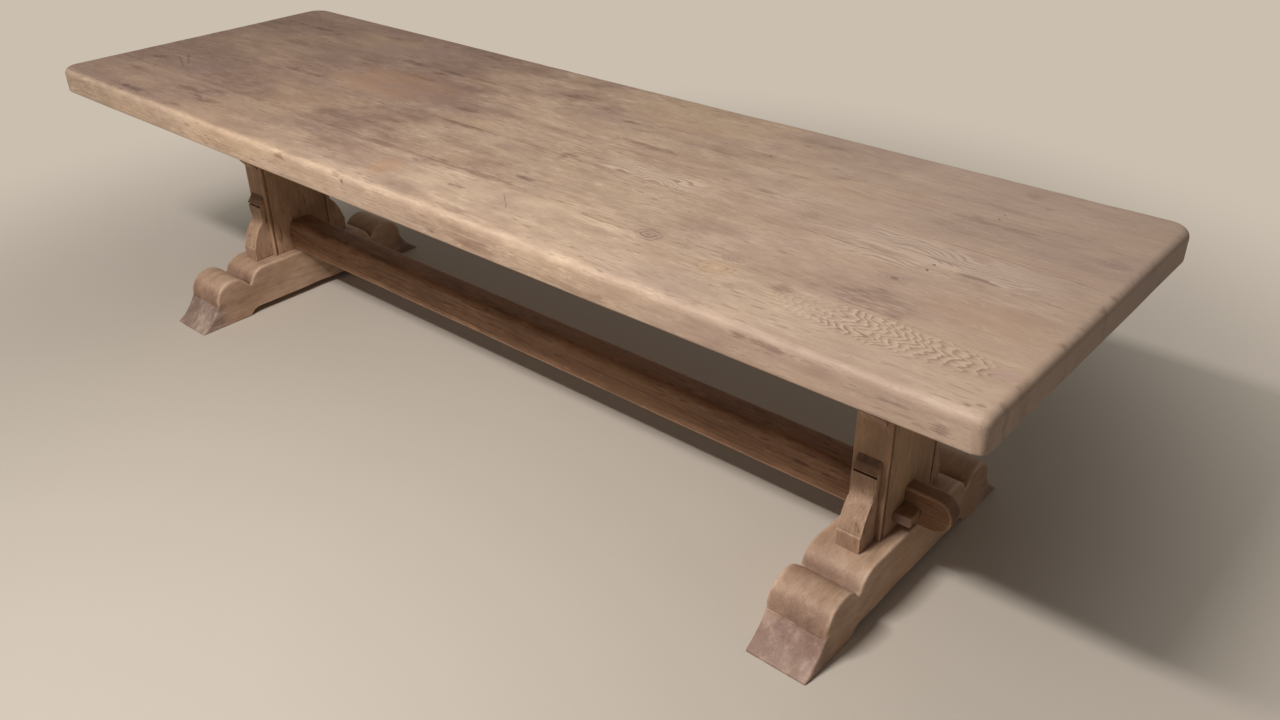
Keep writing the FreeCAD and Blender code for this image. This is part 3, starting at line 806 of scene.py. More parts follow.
boardLooks = {
    "front_board": {
        "heart": (-0.335, 0.640),
        # paler than the other boards: partly paler wood, partly painted light where the lamp falls nearest
        "level": 0.76,
        "tilt": 0.020,
        "haze": (0.55, 1.30, 0.28),
        "knots": ((0.639, -0.266, 0.010, 0.14, 0.50, 0.0), (0.836, -0.302, 0.013, -0.14, 0.34, 1.0)),
        "smudges": (
            (-1.25, -0.308, 0.050, 0.010, 0.20), (-1.08, -0.420, 0.070, 0.009, 0.46),
            (-0.85, -0.425, 0.030, 0.008, 0.38), (-0.86, -0.296, 0.045, 0.012, 0.26),
            (-0.81, -0.350, 0.060, 0.010, 0.46), (-0.94, -0.325, 0.070, 0.008, 0.28),
            (-0.01, -0.287, 0.035, 0.010, 0.26), (0.155, -0.338, 0.022, 0.006, 0.36),
            (0.24, -0.425, 0.060, 0.010, 0.18), (0.55, -0.290, 0.060, 0.012, -0.16),
            (0.905, -0.339, 0.022, 0.009, 0.30), (0.975, -0.296, 0.018, 0.014, 0.22),
            (1.02, -0.345, 0.070, 0.018, -0.12), (1.13, -0.350, 0.060, 0.014, 0.14),
            (1.39, -0.338, 0.024, 0.012, 0.18), (1.441, -0.330, 0.008, 0.016, 0.30),
            (1.443, -0.395, 0.008, 0.007, 0.36), (1.399, -0.433, 0.006, 0.004, 0.80),
            (1.415, -0.422, 0.006, 0.004, 0.60),
        ),
        "strokes": (
            (-0.36, -0.274, -0.12, -0.276, 0.0070, 0.18), (-0.10, -0.272, 0.25, -0.272, 0.0030, 0.14),
            (0.46, -0.275, 0.60, -0.275, 0.0040, 0.30), (0.266, -0.300, 0.335, -0.358, 0.0024, 0.34),
            (1.36, -0.290, 1.435, -0.297, 0.0022, 0.34), (1.37, -0.300, 1.435, -0.303, 0.0022, 0.24),
        ),
        "patches": ((-0.06, -0.360, 0.050, 0.060, 0.40, tan), (1.405, -0.318, 0.030, 0.016, 0.55, blush)),
        "flame": (1.19, -0.322, 0.22, 0.050),
        "faceMarks": (
            (-0.336, 0.746, 0.030, 0.006, 0.40), (-0.093, 0.746, 0.006, 0.008, 0.50),
            (1.05, 0.742, 0.075, 0.006, 0.34), (1.295, 0.729, 0.030, 0.003, 0.34),
            (1.374, 0.716, 0.018, 0.010, 0.40), (0.30, 0.715, 0.160, 0.012, 0.12),
            (0.60, 0.705, 0.090, 0.008, 0.14), (-0.60, 0.712, 0.120, 0.010, 0.14),
        ),
    },
    "front_inner_board": {
        "heart": (-0.150, 0.560),
        "level": 0.67,
        "haze": (0.45, 1.25, 0.36),
        "knots": (
            (0.639, -0.266, 0.010, 0.14, 0.50, 0.0), (0.836, -0.250, 0.009, 0.75, 0.26, 0.0),
            (1.106, -0.131, 0.010, 0.95, 0.30, 0.0), (-0.61, -0.220, 0.008, 0.34, 0.10, 0.0),
        ),
        "smudges": (
            (-0.86, -0.170, 0.460, 0.090, 0.12), (-1.31, -0.205, 0.022, 0.014, 0.30),
            (-0.71, -0.260, 0.020, 0.008, 0.26), (-0.15, -0.056, 0.110, 0.007, 0.30),
            (0.12, -0.215, 0.150, 0.050, 0.08), (0.24, -0.213, 0.024, 0.007, 0.36),
            (0.10, -0.258, 0.140, 0.010, 0.18), (0.21, -0.062, 0.012, 0.016, 0.24),
            (1.06, -0.200, 0.060, 0.090, 0.09), (1.135, -0.232, 0.060, 0.029, 0.28),
            (1.15, -0.262, 0.028, 0.008, 0.30), (1.438, -0.175, 0.008, 0.006, 0.50),
            (1.434, -0.100, 0.007, 0.004, 0.40), (1.20, -0.062, 0.030, 0.006, 0.22),
        ),
        "strokes": (
            (-1.28, -0.135, -1.16, -0.205, 0.0045, 0.34), (-1.27, -0.172, -1.15, -0.225, 0.0040, 0.30),
            (-0.36, -0.262, -0.12, -0.264, 0.0060, 0.16), (0.90, -0.054, 1.10, -0.056, 0.0022, 0.26),
            (0.94, -0.0555, 1.02, -0.0595, 0.0026, 0.34), (1.00, -0.0410, 1.075, -0.0550, 0.0028, 0.44),
        ),
        "patches": ((1.30, -0.160, 0.130, 0.080, 0.20, tan),),
        "waves": ((0.86, 1.18, -0.064, 0.028, 0.46),),
    },
    "middle_board": {
        "heart": (0.020, 0.700),
        "level": 0.67,
        "haze": (0.30, 1.15, 0.44),
        "knots": ((0.838, 0.012, 0.009, 0.24, 0.18, 0.0),),
        "smudges": (
            (-0.84, -0.034, 0.105, 0.009, 0.30), (-0.76, -0.020, 0.018, 0.012, 0.22),
            (-0.21, 0.030, 0.035, 0.010, 0.22), (0.20, 0.030, 0.100, 0.007, -0.12),
            (0.22, -0.046, 0.018, 0.014, 0.22), (0.70, 0.062, 0.020, 0.010, 0.22),
            (1.05, 0.010, 0.030, 0.010, 0.24), (1.045, -0.038, 0.050, 0.006, 0.30),
            (1.145, -0.014, 0.030, 0.006, 0.34), (1.13, -0.030, 0.085, 0.012, -0.40),
            (1.222, -0.041, 0.036, 0.006, 0.60), (1.27, -0.038, 0.020, 0.008, -0.24),
            (1.440, -0.012, 0.007, 0.010, 0.46), (1.436, 0.044, 0.006, 0.005, 0.40),
        ),
        "strokes": (
            (-0.04, 0.020, 0.22, 0.018, 0.0022, 0.20), (0.84, -0.028, 1.00, 0.000, 0.0030, -0.20),
            (1.10, 0.0665, 1.27, 0.0610, 0.0032, 0.42), (1.26, 0.0610, 1.43, 0.0550, 0.0024, 0.34),
            (1.00, -0.0410, 1.075, -0.0550, 0.0028, 0.44), (0.965, -0.0220, 1.070, -0.0300, 0.0070, -0.34),
            (1.055, -0.0220, 1.205, -0.0380, 0.0085, -0.46), (1.110, -0.0110, 1.170, -0.0150, 0.0042, 0.36),
            (1.030, 0.0220, 1.090, 0.0480, 0.0032, 0.26), (1.185, -0.0420, 1.272, -0.0445, 0.0048, 0.62),
            (1.240, -0.0350, 1.285, -0.0400, 0.0060, -0.46),
        ),
        "waves": ((0.26, 0.64, -0.020, 0.050, 0.46), (0.90, 1.40, 0.010, 0.058, 0.40)),
        "patches": ((-0.55, 0.030, 0.240, 0.100, 0.45, tan),),
    },
    "rear_inner_board": {
        "heart": (0.170, 0.610),
        "level": 0.67,
        "haze": (0.30, 1.10, 0.46),
        "knots": ((0.577, 0.240, 0.006, 0.60, 0.14, 0.0), (1.388, 0.168, 0.010, 0.16, 0.24, 0.0)),
        "smudges": (
            (-1.13, 0.140, 0.048, 0.013, 0.55), (-1.15, 0.150, 0.130, 0.034, 0.10),
            (-1.16, 0.090, 0.024, 0.012, 0.22), (-0.67, 0.220, 0.050, 0.012, 0.34),
            (-0.47, 0.224, 0.040, 0.007, 0.36), (-0.37, 0.228, 0.045, 0.007, 0.32),
            (-0.54, 0.137, 0.065, 0.009, 0.36), (-0.53, 0.196, 0.022, 0.007, 0.28),
            (-0.75, 0.176, 0.050, 0.026, 0.14), (-0.31, 0.172, 0.048, 0.026, 0.22),
            (-0.02, 0.110, 0.240, 0.070, -0.10), (0.17, 0.218, 0.026, 0.006, 0.38),
            (0.32, 0.114, 0.070, 0.010, 0.32), (0.705, 0.176, 0.024, 0.009, 0.32),
            (0.778, 0.226, 0.015, 0.008, 0.24), (0.83, 0.175, 0.024, 0.006, 0.20),
            (1.14, 0.200, 0.080, 0.010, 0.32), (1.16, 0.165, 0.085, 0.045, 0.10),
        ),
        "strokes": (
            (-0.59, 0.096, -0.44, 0.073, 0.0030, 0.34), (1.14, 0.076, 1.43, 0.068, 0.0026, 0.26),
        ),
        "patches": ((-0.55, 0.080, 0.240, 0.080, 0.40, tan),),
    },
    "rear_board": {
        "heart": (0.330, 0.600),
        "level": 0.67,
        "haze": (0.20, 1.00, 0.50),
        "smudges": (
            (-1.22, 0.286, 0.068, 0.009, 0.40), (-1.37, 0.288, 0.015, 0.007, 0.30),
            (-1.10, 0.277, 0.016, 0.009, 0.26), (-0.93, 0.358, 0.030, 0.008, 0.22),
            (-0.51, 0.400, 0.065, 0.009, 0.28), (-0.06, 0.290, 0.050, 0.014, 0.26),
            (0.08, 0.268, 0.035, 0.016, 0.16), (0.55, 0.305, 0.035, 0.012, 0.20),
            (0.61, 0.345, 0.010, 0.008, 0.28), (0.82, 0.387, 0.024, 0.020, -0.18),
            (0.905, 0.331, 0.038, 0.026, -0.20), (1.12, 0.286, 0.120, 0.008, 0.18),
            (1.143, 0.390, 0.014, 0.012, 0.24),
        ),
    },
}

# shade: darker towards -X; sideShade: painted shade on the front and back faces; the negative endLoss
# paints the board ends lighter, a painted fill light
topWearAndLight = {"shade": (0.12, -0.62, 0.30), "edgeGain": 0.02, "sideShade": 0.07, "endLoss": -0.06}

for number, node in enumerate(topStyle["boards"]):
    makeBoard(node, oak(node + "_oak", seed=number, **topWearAndLight, **boardLooks[node]))
print("top boards made")


# Sawn pieces: copies of their solids, an even mesh with unevenly rubbed arrises

rubStyle = {
    "worn": (-0.3, 0.9),  # of a drift, from arrises left crisp to those rubbed most
    "edges": (0.006, 0.05),  # of the skin's lean, from flat to a pale arris
    "hollows": (0.008, 0.06),
    "leanRubs": 4,
}


def cadCopy(name, node):
    build = bmesh.new()
    build.from_mesh(cadNodes[node].data)
    bmesh.ops.remove_doubles(build, verts=build.verts, dist=0.00001)
    mesh = bpy.data.meshes.new(name)
    build.to_mesh(mesh)
    build.free()
    return addObject(name, mesh)


def weather(mesh, amount, lumps, seed):  # presses the skin in by up to that amount
    points = readPoints(mesh)
    inward = amount * (1 + drift(points, lumps, seed)) / 2
    writePoints(mesh, points - readNormals(mesh) * inward[:, None])


def rub(values, edges, times):  # evens them out between neighbours
    for step in range(times):
        values = values + 0.5 * (meanOfNeighbours(values, edges) - values)
    return values


def nearHeight(points, height, band):  # 1 at that height, 0 past the band
    return 1 - ease(abs(points[:, 2] - height), *band)[:, None]


def rubDown(mesh, style, seed, softHeight=None, crispHeight=None):
    edges = readArray(mesh.edges, "vertices", 2, np.int64)
    sawn = readPoints(mesh)
    sharp = rub(sawn, edges, style["firstRubs"])
    soft = rub(sharp, edges, style["moreRubs"])
    worn = ease(drift(sharp, style["wearSize"], seed), *rubStyle["worn"])
    points = sharp + worn[:, None] * (soft - sharp)
    if softHeight is not None:  # a hollow corner worn to a curve
        curved = rub(points, edges, style["softRubs"])
        points = points + nearHeight(points, softHeight, style["softBand"]) * (curved - points)
    if crispHeight is not None:  # a saw cut that the rubbing never reached
        points = points + nearHeight(sawn, crispHeight, style["crispBand"]) * (sawn - points)
    writePoints(mesh, points)
    lean = ((points - meanOfNeighbours(points, edges)) * readNormals(mesh)).sum(axis=1) / style["voxel"]
    lean = rub(lean[:, None], edges, rubStyle["leanRubs"])[:, 0]
    weather(mesh, style["undulation"], style["lumps"], seed + 5)
    paintAttribute(mesh, "edge", ease(lean, *rubStyle["edges"]))
    # painted shade in the hollows and creases
    paintAttribute(mesh, "hollow", ease(-lean, *rubStyle["hollows"]))


def evenOut(made, style, seed, softHeight=None, crispHeight=None):
    even = made.modifiers.new("even", "REMESH")
    even.mode = "VOXEL"
    even.voxel_size = style["voxel"]
    rubDown(bakeModifiers(made), style, seed, softHeight, crispHeight)


def makeWorn(node, style, body, material, seed, softHeight=None, crispHeight=None):
    made = cadCopy(node + "_wood", node)
    evenOut(made, style, seed, softHeight, crispHeight)
    return dressPiece(made, [node], body, material, 180)


frameColours = (tone(84, 60, 44), tone(134, 101, 76), tone(170, 136, 108), tone(203, 171, 142))
footColours = (tone(84, 61, 46), tone(134, 103, 81), tone(171, 139, 114), tone(204, 173, 147))

footStyle = {
    "voxel": 0.0027,
    "firstRubs": 4,
    "moreRubs": 16,
    "wearSize": 0.06,
    "undulation": 0.0010,
    "lumps": 0.05,
}

footLooks = {
    "left_foot": {
        "heart": (-1.05, -0.03),
        "level": 0.67,
        "warmShare": 0.16,
        "toeTints": (tone(122, 104, 96), tone(164, 147, 140)),
        "seed": 21,
    },
    "right_foot": {"heart": (1.14, -0.05), "level": 0.71, "warmShare": 0.42, "seed": 22},
}

footWear = {
    "grain": "Y",
    "colours": footColours,
    "toes": (0.345, 0.072),
    "stain": tone(146, 121, 117),
    "stainShare": 0.14,
    "warm": tone(188, 144, 106),
    "fleck": 0.08,
    "tick": 0.06,
    "pore": 0.12,
}

for node, look in footLooks.items():
    makeWorn(node, footStyle, "table", oak(node + "_oak", **footWear, **look), look["seed"])
print("feet made")

bracketStyle = {
    "voxel": 0.0012,
    "firstRubs": 2,
    "moreRubs": 8,
    "shares": (0.595, 0.8437, 0.86),  # of the height, at the neck, the saw kerf and the cap
    "capDeepShade": 0.014,  # how far up the cap the deeper painted shade begins; the cap lies in the shadow of the top
    "heart": (0.03, -0.08),
    "crispBand": (0.0048, 0.008),
    "softBand": (0.008, 0.016),
    "softRubs": 60,
    "wearSize": 0.03,
    "undulation": 0.0005,
    "lumps": 0.03,
}
# the strong hollowLoss paints shade into the kerf and the hollow under the cap
bracketLook = {"grain": "Z", "colours": footColours, "hollowLoss": 0.9, "level": 0.60, "stainShare": 0.12}

seed = 30
for side in ("left", "right"):
    for level in ("lower", "upper"):
        for face in ("front", "rear"):
            node = side + "_" + level + "_" + face + "_bracket"
            low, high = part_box(node)
            heart = (middleX(node) + bracketStyle["heart"][0], low.y + bracketStyle["heart"][1])
            foot, tip = (low.z, high.z) if level == "lower" else (high.z, low.z)
            neck, kerf, cap = [foot + (tip - foot) * share for share in bracketStyle["shares"]]
            capShade = ()
            # painted shade on the lower brackets' caps, which lie under the shadow of the top, deepest near
            # the post
            if level == "lower":
                capShade = ((cap, tip, 0.12), (cap + bracketStyle["capDeepShade"], tip, 0.28))
            wood = oak(node + "_oak", heart=heart, bands=capShade, seed=seed, **bracketLook)
            makeWorn(node, bracketStyle, "table", wood, seed, neck, kerf)
            seed += 1
print("brackets made")

bearerStyle = {
    "voxel": 0.0035,
    "firstRubs": 2,
    "moreRubs": 5,
    "heart": (0.0, -0.04),
    "level": 0.52,
    "wearSize": 0.06,
    "undulation": 0.0008,
    "lumps": 0.06,
}

keyStyle = {
    "voxel": 0.0014,
    "firstRubs": 2,
    "moreRubs": 8,
    "heart": (0.05, -0.02),
    "level": 0.50,
    "wearSize": 0.02,
    "undulation": 0.0003,
    "lumps": 0.02,
}


def makeCross(node, style, body, seed):  # a piece that lies across the table
    heart = (middleX(node) + style["heart"][0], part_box(node)[0].z + style["heart"][1])
    look = {"grain": "Y", "colours": frameColours, "heart": heart, "level": style["level"]}
    makeWorn(node, style, body, oak(node + "_oak", seed=seed, **look), seed)


for side in ("left", "right"):
    makeCross(side + "_bearer", bearerStyle, "table", seed)
    seed += 1
print("bearers made")

for side in ("left", "right"):
    makeCross(side + "_key", keyStyle, side + "_wedge", seed)
    seed += 1
print("keys made")


# Straight pieces: a rounded outline drawn along a line

def roundedLoop(corners, step):  # corners are (u, v, radius); the loop's points, no further apart than step
    points = []
    count = len(corners)
    for number, (u, v, radius) in enumerate(corners):
        here = np.array([u, v])
        before = np.array(corners[number - 1][:2]) - here
        after = np.array(corners[(number + 1) % count][:2]) - here
        before = before / np.linalg.norm(before)
        after = after / np.linalg.norm(after)
        half = math.acos(np.clip(before @ after, -1, 1)) / 2
        middle = here + (before + after) / np.linalg.norm(before + after) * radius / math.sin(half)
        start = here + before * radius / math.tan(half) - middle
        end = here + after * radius / math.tan(half) - middle
        turns = max(2, math.ceil((math.pi - 2 * half) / math.radians(15)))
        for turn in range(turns + 1):
            spoke = start * (1 - turn / turns) + end * turn / turns
            points.append(middle + spoke / np.linalg.norm(spoke) * radius)
    spaced = []
    for number, point in enumerate(points):
        ahead = points[(number + 1) % len(points)]
        pieces = max(1, math.ceil(np.linalg.norm(ahead - point) / step))
        spaced += [point + (ahead - point) * piece / pieces for piece in range(pieces)]
    return np.array(spaced)


def drawLoop(rings):  # closed skin over rings with the same number of points
    size = len(rings[0])
    faces = []
    for number in range(len(rings) - 1):
        below = np.arange(size) + number * size
        ahead = np.roll(below, -1)
        faces.append(np.stack([below, ahead, ahead + size, below + size], axis=-1))
    quads = np.concatenate(faces).tolist()
    last = (len(rings) - 1) * size
    return np.concatenate(rings), quads + [list(range(size))[::-1], list(range(last, last + size))]


def closeSkin(mesh):  # one closed skin, with its faces outwards
    build = bmesh.new()
    build.from_mesh(mesh)
    bmesh.ops.remove_doubles(build, verts=build.verts, dist=0.00002)
    bmesh.ops.dissolve_degenerate(build, edges=build.edges, dist=0.00001)
    bmesh.ops.recalc_face_normals(build, faces=build.faces)
    build.to_mesh(mesh)
    build.free()


postStyle = {
    "arris": 0.0032,
    "rubbed": (-0.004, -0.001),  # from the faces, from dull to pale
    "grooveSetback": 0.007,  # from the narrow face
    "grooveWidth": 0.007,
    "grooveDepth": 0.006,
    "grooveEase": 0.0011,
    "grooveSlack": 0.0005,  # past its walls
    "grooveDark": (0.001, 0.004),  # depths over which painted shade fills the groove
    "step": 0.012,
    "tenon": (0.030, 0.150),
    "mortiseGap": 0.0006,
    "cutterSpare": 0.02,
    "undulation": 0.0006,
    "lumps": 0.07,
    "sharpAngle": 35,
    "heart": (0.01, -0.16),
}


def postSection(halfX, halfY):
    style = postStyle
    corners = [(-halfX, -halfY, style["arris"]), (halfX, -halfY, style["arris"])]
    near = halfY - style["grooveSetback"]
    far = near - style["grooveWidth"]
    deep = halfX - style["grooveDepth"]
    for first, second in ((-near, -far), (far, near)):
        corners += [(halfX, first), (deep, first), (deep, second), (halfX, second)]
    corners += [(halfX, halfY, style["arris"]), (-halfX, halfY, style["arris"])]
    for first, second in ((near, far), (-far, -near)):
        corners += [(-halfX, first), (-deep, first), (-deep, second), (-halfX, second)]
    return [corner if len(corner) == 3 else (*corner, style["grooveEase"]) for corner in corners]


def tongueBox():  # box of the rail's tongue, past the post
    points = readPoints(cadNodes["rail"].data)
    beyond = points[points[:, 0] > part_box("right_post")[1].x + 0.001]
    return Vector(beyond.min(axis=0)), Vector(beyond.max(axis=0))


def cutMortise(made, centreX, width):  # the hole that the tongue goes through
    low, high = tongueBox()
    gaps = 2 * postStyle["mortiseGap"]
    size = Vector((width + postStyle["cutterSpare"], high.y - low.y + gaps, high.z - low.z + gaps))
    place = Vector((centreX, 0, (low.z + high.z) / 2))
    build = bmesh.new()
    bmesh.ops.create_cube(build, size=1)
    build.transform(Matrix.Translation(place) @ Matrix.Diagonal(size).to_4x4())
    mesh = bpy.data.meshes.new("mortise")
    build.to_mesh(mesh)
    build.free()
    cutter = addObject("mortise", mesh)
    hole = made.modifiers.new("mortise", "BOOLEAN")
    hole.object = cutter
    hole.solver = "EXACT"
    bakeModifiers(made)
    bpy.data.objects.remove(cutter)


def paintPost(mesh, centreX, halfX, halfY):  # pale arrises, painted shade in the grooves
    points = readPoints(mesh)
    acrossX, acrossY = abs(points[:, 0] - centreX), abs(points[:, 1])
    rubbed = ease(acrossX - halfX, *postStyle["rubbed"]) * ease(acrossY - halfY, *postStyle["rubbed"])
    near = halfY - postStyle["grooveSetback"]
    far = near - postStyle["grooveWidth"]
    slack = postStyle["grooveSlack"]
    inGroove = (acrossY > far - slack) & (acrossY < near + slack)
    paintAttribute(mesh, "edge", rubbed)
    paintAttribute(mesh, "hollow", inGroove * ease(halfX - acrossX, *postStyle["grooveDark"]))


def makePost(node, foot, bearer, material, seed):
    low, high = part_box(node)
    bottom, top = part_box(foot)[1].z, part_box(bearer)[0].z
    centreX, halfX, halfY = middleX(node), (high.x - low.x) / 2, high.y
    loop = roundedLoop(postSection(halfX, halfY), postStyle["step"])
    halfTenon = np.array(postStyle["tenon"]) / 2
    tenon = np.clip(loop, -halfTenon, halfTenon)
    levels = np.linspace(bottom, top, math.ceil((top - bottom) / postStyle["step"]) + 1)
    outline = [(tenon, low.z), (tenon, bottom)] + [(loop, level) for level in levels]
    outline += [(tenon, top), (tenon, high.z)]
    rings = []
    for ring, level in outline:
        rings.append(np.column_stack([ring[:, 0] + centreX, ring[:, 1], np.full(len(ring), level)]))
    mesh = newMesh(node + "_wood", *drawLoop(rings))
    closeSkin(mesh)
    made = addObject(node + "_wood", mesh)
    cutMortise(made, centreX, high.x - low.x)
    weather(made.data, postStyle["undulation"], postStyle["lumps"], seed)
    paintPost(made.data, centreX, halfX, halfY)
    return dressPiece(made, [node], "table", material, postStyle["sharpAngle"])


# a little painted shade in the grooves
postLook = {"grain": "Z", "colours": frameColours, "level": 0.57, "hollowLoss": 0.10}

for side in ("left", "right"):
    node = side + "_post"
    heart = (middleX(node) + postStyle["heart"][0], postStyle["heart"][1])
    wood = oak(node + "_oak", heart=heart, seed=seed, **postLook)
    makePost(node, side + "_foot", side + "_bearer", wood, seed)
    seed += 1
print("posts made")


railStyle = {
    "topRadius": 0.020,
    "underRadius": 0.010,
    "step": 0.014,
    "undulation": 0.0007,
    "lumps": (0.16, 0.05, 0.05),
    "seed": 61,
    "rubbedAside": (-0.012, -0.003),  # from the front and back, where the lower arrises are rubbed pale
    "rubbedBelow": (-0.012, -0.005),  # from the underside
    "overlap": 0.0005,  # of the tongues with the rail
    "tongueSeed": 60,
    "tongue": {
        "voxel": 0.0020,
        "firstRubs": 3,
        "moreRubs": 8,
        "wearSize": 0.04,
        "undulation": 0.0003,
        "lumps": 0.04,
    },
}
railColours = (tone(66, 44, 32), tone(112, 80, 58), tone(148, 111, 84), tone(184, 147, 118))


def makeTongues(inner):  # the rail's ends, from its node, past the shoulders
    made = cadCopy("tongues", "rail")
    build = bmesh.new()
    build.from_mesh(made.data)
    for side in (-1, 1):
        geometry = build.verts[:] + build.edges[:] + build.faces[:]
        plane = {"plane_co": (side * inner, 0, 0), "plane_no": (1, 0, 0)}
        bmesh.ops.bisect_plane(build, geom=geometry, **plane)
    inside = [face for face in build.faces if abs(face.calc_center_median().x) < inner]
    bmesh.ops.delete(build, geom=inside, context="FACES")
    bmesh.ops.holes_fill(build, edges=[edge for edge in build.edges if edge.is_boundary])
    bmesh.ops.recalc_face_normals(build, faces=build.faces)
    build.to_mesh(made.data)
    build.free()
    evenOut(made, railStyle["tongue"], railStyle["tongueSeed"])
    return made


def makeRail(material):
    low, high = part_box("rail")
    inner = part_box("right_post")[0].x
    under, over = railStyle["underRadius"], railStyle["topRadius"]
    corners = [(low.y, low.z, under), (high.y, low.z, under), (high.y, high.z, over), (low.y, high.z, over)]
    loop = roundedLoop(corners, railStyle["step"])
    stations = np.linspace(-inner, inner, math.ceil(2 * inner / railStyle["step"]) + 1)
    rings = [np.column_stack([np.full(len(loop), station), loop]) for station in stations]
    mesh = newMesh("rail_wood", *drawLoop(rings))
    closeSkin(mesh)
    weather(mesh, railStyle["undulation"], railStyle["lumps"], railStyle["seed"])
    points = readPoints(mesh)
    aside = ease(abs(points[:, 1]) - high.y, *railStyle["rubbedAside"])
    below = ease(low.z - points[:, 2], *railStyle["rubbedBelow"])
    paintAttribute(mesh, "edge", aside * below)
    paintAttribute(mesh, "hollow", np.zeros(len(points)))
    made = addObject("rail_wood", mesh)
    tongues = makeTongues(inner - railStyle["overlap"])
    with bpy.context.temp_override(active_object=made, selected_editable_objects=[made, tongues]):
        bpy.ops.object.join()
    return dressPiece(made, ["rail"], "table", material)


railWood = oak(
    "rail_oak",
    colours=railColours,
    heart=(0.05, 0.12),
    level=0.56,
    ring=0.010,
    ringDepth=0.20,
    ringPatch=(0.36, 0.58),
    ringEnd=(1.06, 1.14),
    sway=0.090,
    ripple=1.2,
    mottle=0.34,
    fleck=0.26,
    edgeGain=0.40,
    bands=((0.1535, 0.1580, -0.22),),
    strokes=((-0.85, 0.177, -0.05, 0.172, 0.0018, 0.50), (0.15, 0.204, 0.62, 0.199, 0.0014, 0.36)),
    strokesUpright=True,
    stain=tone(96, 70, 58),
    warm=tone(150, 108, 76),
    seed=70,
)
makeRail(railWood)
print("rail made")


# Nails, driven from above

nailStyle = {
    "headRadius": 0.0028,
    "headHeight": 0.0022,
    "domeShare": 0.72,
    "shankRadius": 0.0020,
    "tipShare": 0.25,
    "sides": 12,
    "tilt": 0.06,  # radians
    "turn": 6.28,
    "seed": 5,
    "rustLumps": ((420, 420, 420), 3, 0.65),
    "pittingLumps": ((1300, 1300, 1300), 2, 0.60),
    "dust": tone(150, 122, 102),
    "iron": [(0.30, tone(58, 46, 40)), (0.55, tone(84, 64, 52)), (0.78, tone(112, 78, 58))],
}


def ironFinish():
    iron = Finish(bpy.data.materials.new("nail_iron"))
    x, y, z = iron.objectPlace()
    place = iron.vector(x, y, z)
    rust = iron.noise(place, *nailStyle["rustLumps"])
    pitting = iron.noise(place, *nailStyle["pittingLumps"])
    shown = sum(1 - abs(y - seam).smooth(bareReach, bareReach + 0.02) for seam in bareSeams)
    shown = shown * x.smooth(0.0, 0.5)
    colour = iron.mix(shown, nailStyle["dust"], iron.ramp(rust, nailStyle["iron"]))
    roughness = 0.55 + rust * 0.3
    metallic = (1 - rust.smooth(0.42, 0.62)) * 0.5
    return iron.surface(colour, roughness, pitting, 0.0004, {"Metallic": metallic})


def nailTree():
    tree = bpy.data.node_groups.new("nailRow", "GeometryNodeTree")
    face = tree.interface
    kinds = {"Places": "Geometry", "Head radius": "Float", "Head height": "Float", "Dome share": "Float"}
    kinds |= {"Shank radius": "Float", "Shank length": "Float"}
    kinds |= {"Sides": "Int", "Seed": "Int", "Finish": "Material"}
    for name, kind in kinds.items():
        face.new_socket(name, in_out="INPUT", socket_type="NodeSocket" + kind)
    face.new_socket("Nails", in_out="OUTPUT", socket_type="NodeSocketGeometry")
    nodes, links = tree.nodes, tree.links
    given = nodes.new("NodeGroupInput").outputs
    result = nodes.new("NodeGroupOutput").inputs

    def add(kind, sockets, **settings):
        made = nodes.new(kind)
        for name, value in settings.items():
            setattr(made, name, value)
        for name, value in sockets.items():
            if isinstance(value, bpy.types.NodeSocket):
                links.new(value, made.inputs[name])
            else:
                made.inputs[name].default_value = value
        return made.outputs

    def times(first, second):
        return add("ShaderNodeMath", {0: first, 1: second}, operation="MULTIPLY")[0]

    def lifted(geometry, height):
        offset = add("ShaderNodeCombineXYZ", {2: height})[0]
        return add("GeometryNodeTransform", {"Geometry": geometry, "Translation": offset})[0]

    sides = given["Sides"]
    topRadius = times(given["Head radius"], given["Dome share"])
    headSockets = {"Vertices": sides, "Radius Top": topRadius, "Radius Bottom": given["Head radius"]}
    head = add("GeometryNodeMeshCone", {**headSockets, "Depth": given["Head height"]})[0]
    tip = times(given["Shank radius"], nailStyle["tipShare"])
    shankSockets = {"Vertices": sides, "Radius Top": given["Shank radius"], "Radius Bottom": tip}
    shank = add("GeometryNodeMeshCone", {**shankSockets, "Depth": given["Shank length"]})[0]
    joined = nodes.new("GeometryNodeJoinGeometry")
    links.new(lifted(head, times(given["Head height"], -1.0)), joined.inputs[0])
    links.new(lifted(shank, times(given["Shank length"], -1.0)), joined.inputs[0])
    tilt = nailStyle["tilt"]
    turns = {0: (-tilt, -tilt, 0.0), 1: (tilt, tilt, nailStyle["turn"]), "Seed": given["Seed"]}
    lean = add("FunctionNodeRandomValue", turns, data_type="FLOAT_VECTOR")[0]
    rowSockets = {"Points": given["Places"], "Instance": joined.outputs[0], "Rotation": lean}
    row = add("GeometryNodeInstanceOnPoints", rowSockets)[0]
    real = add("GeometryNodeRealizeInstances", {"Geometry": row})[0]
    finished = add("GeometryNodeSetMaterial", {"Geometry": real, "Material": given["Finish"]})[0]
    links.new(finished, result["Nails"])
    return tree


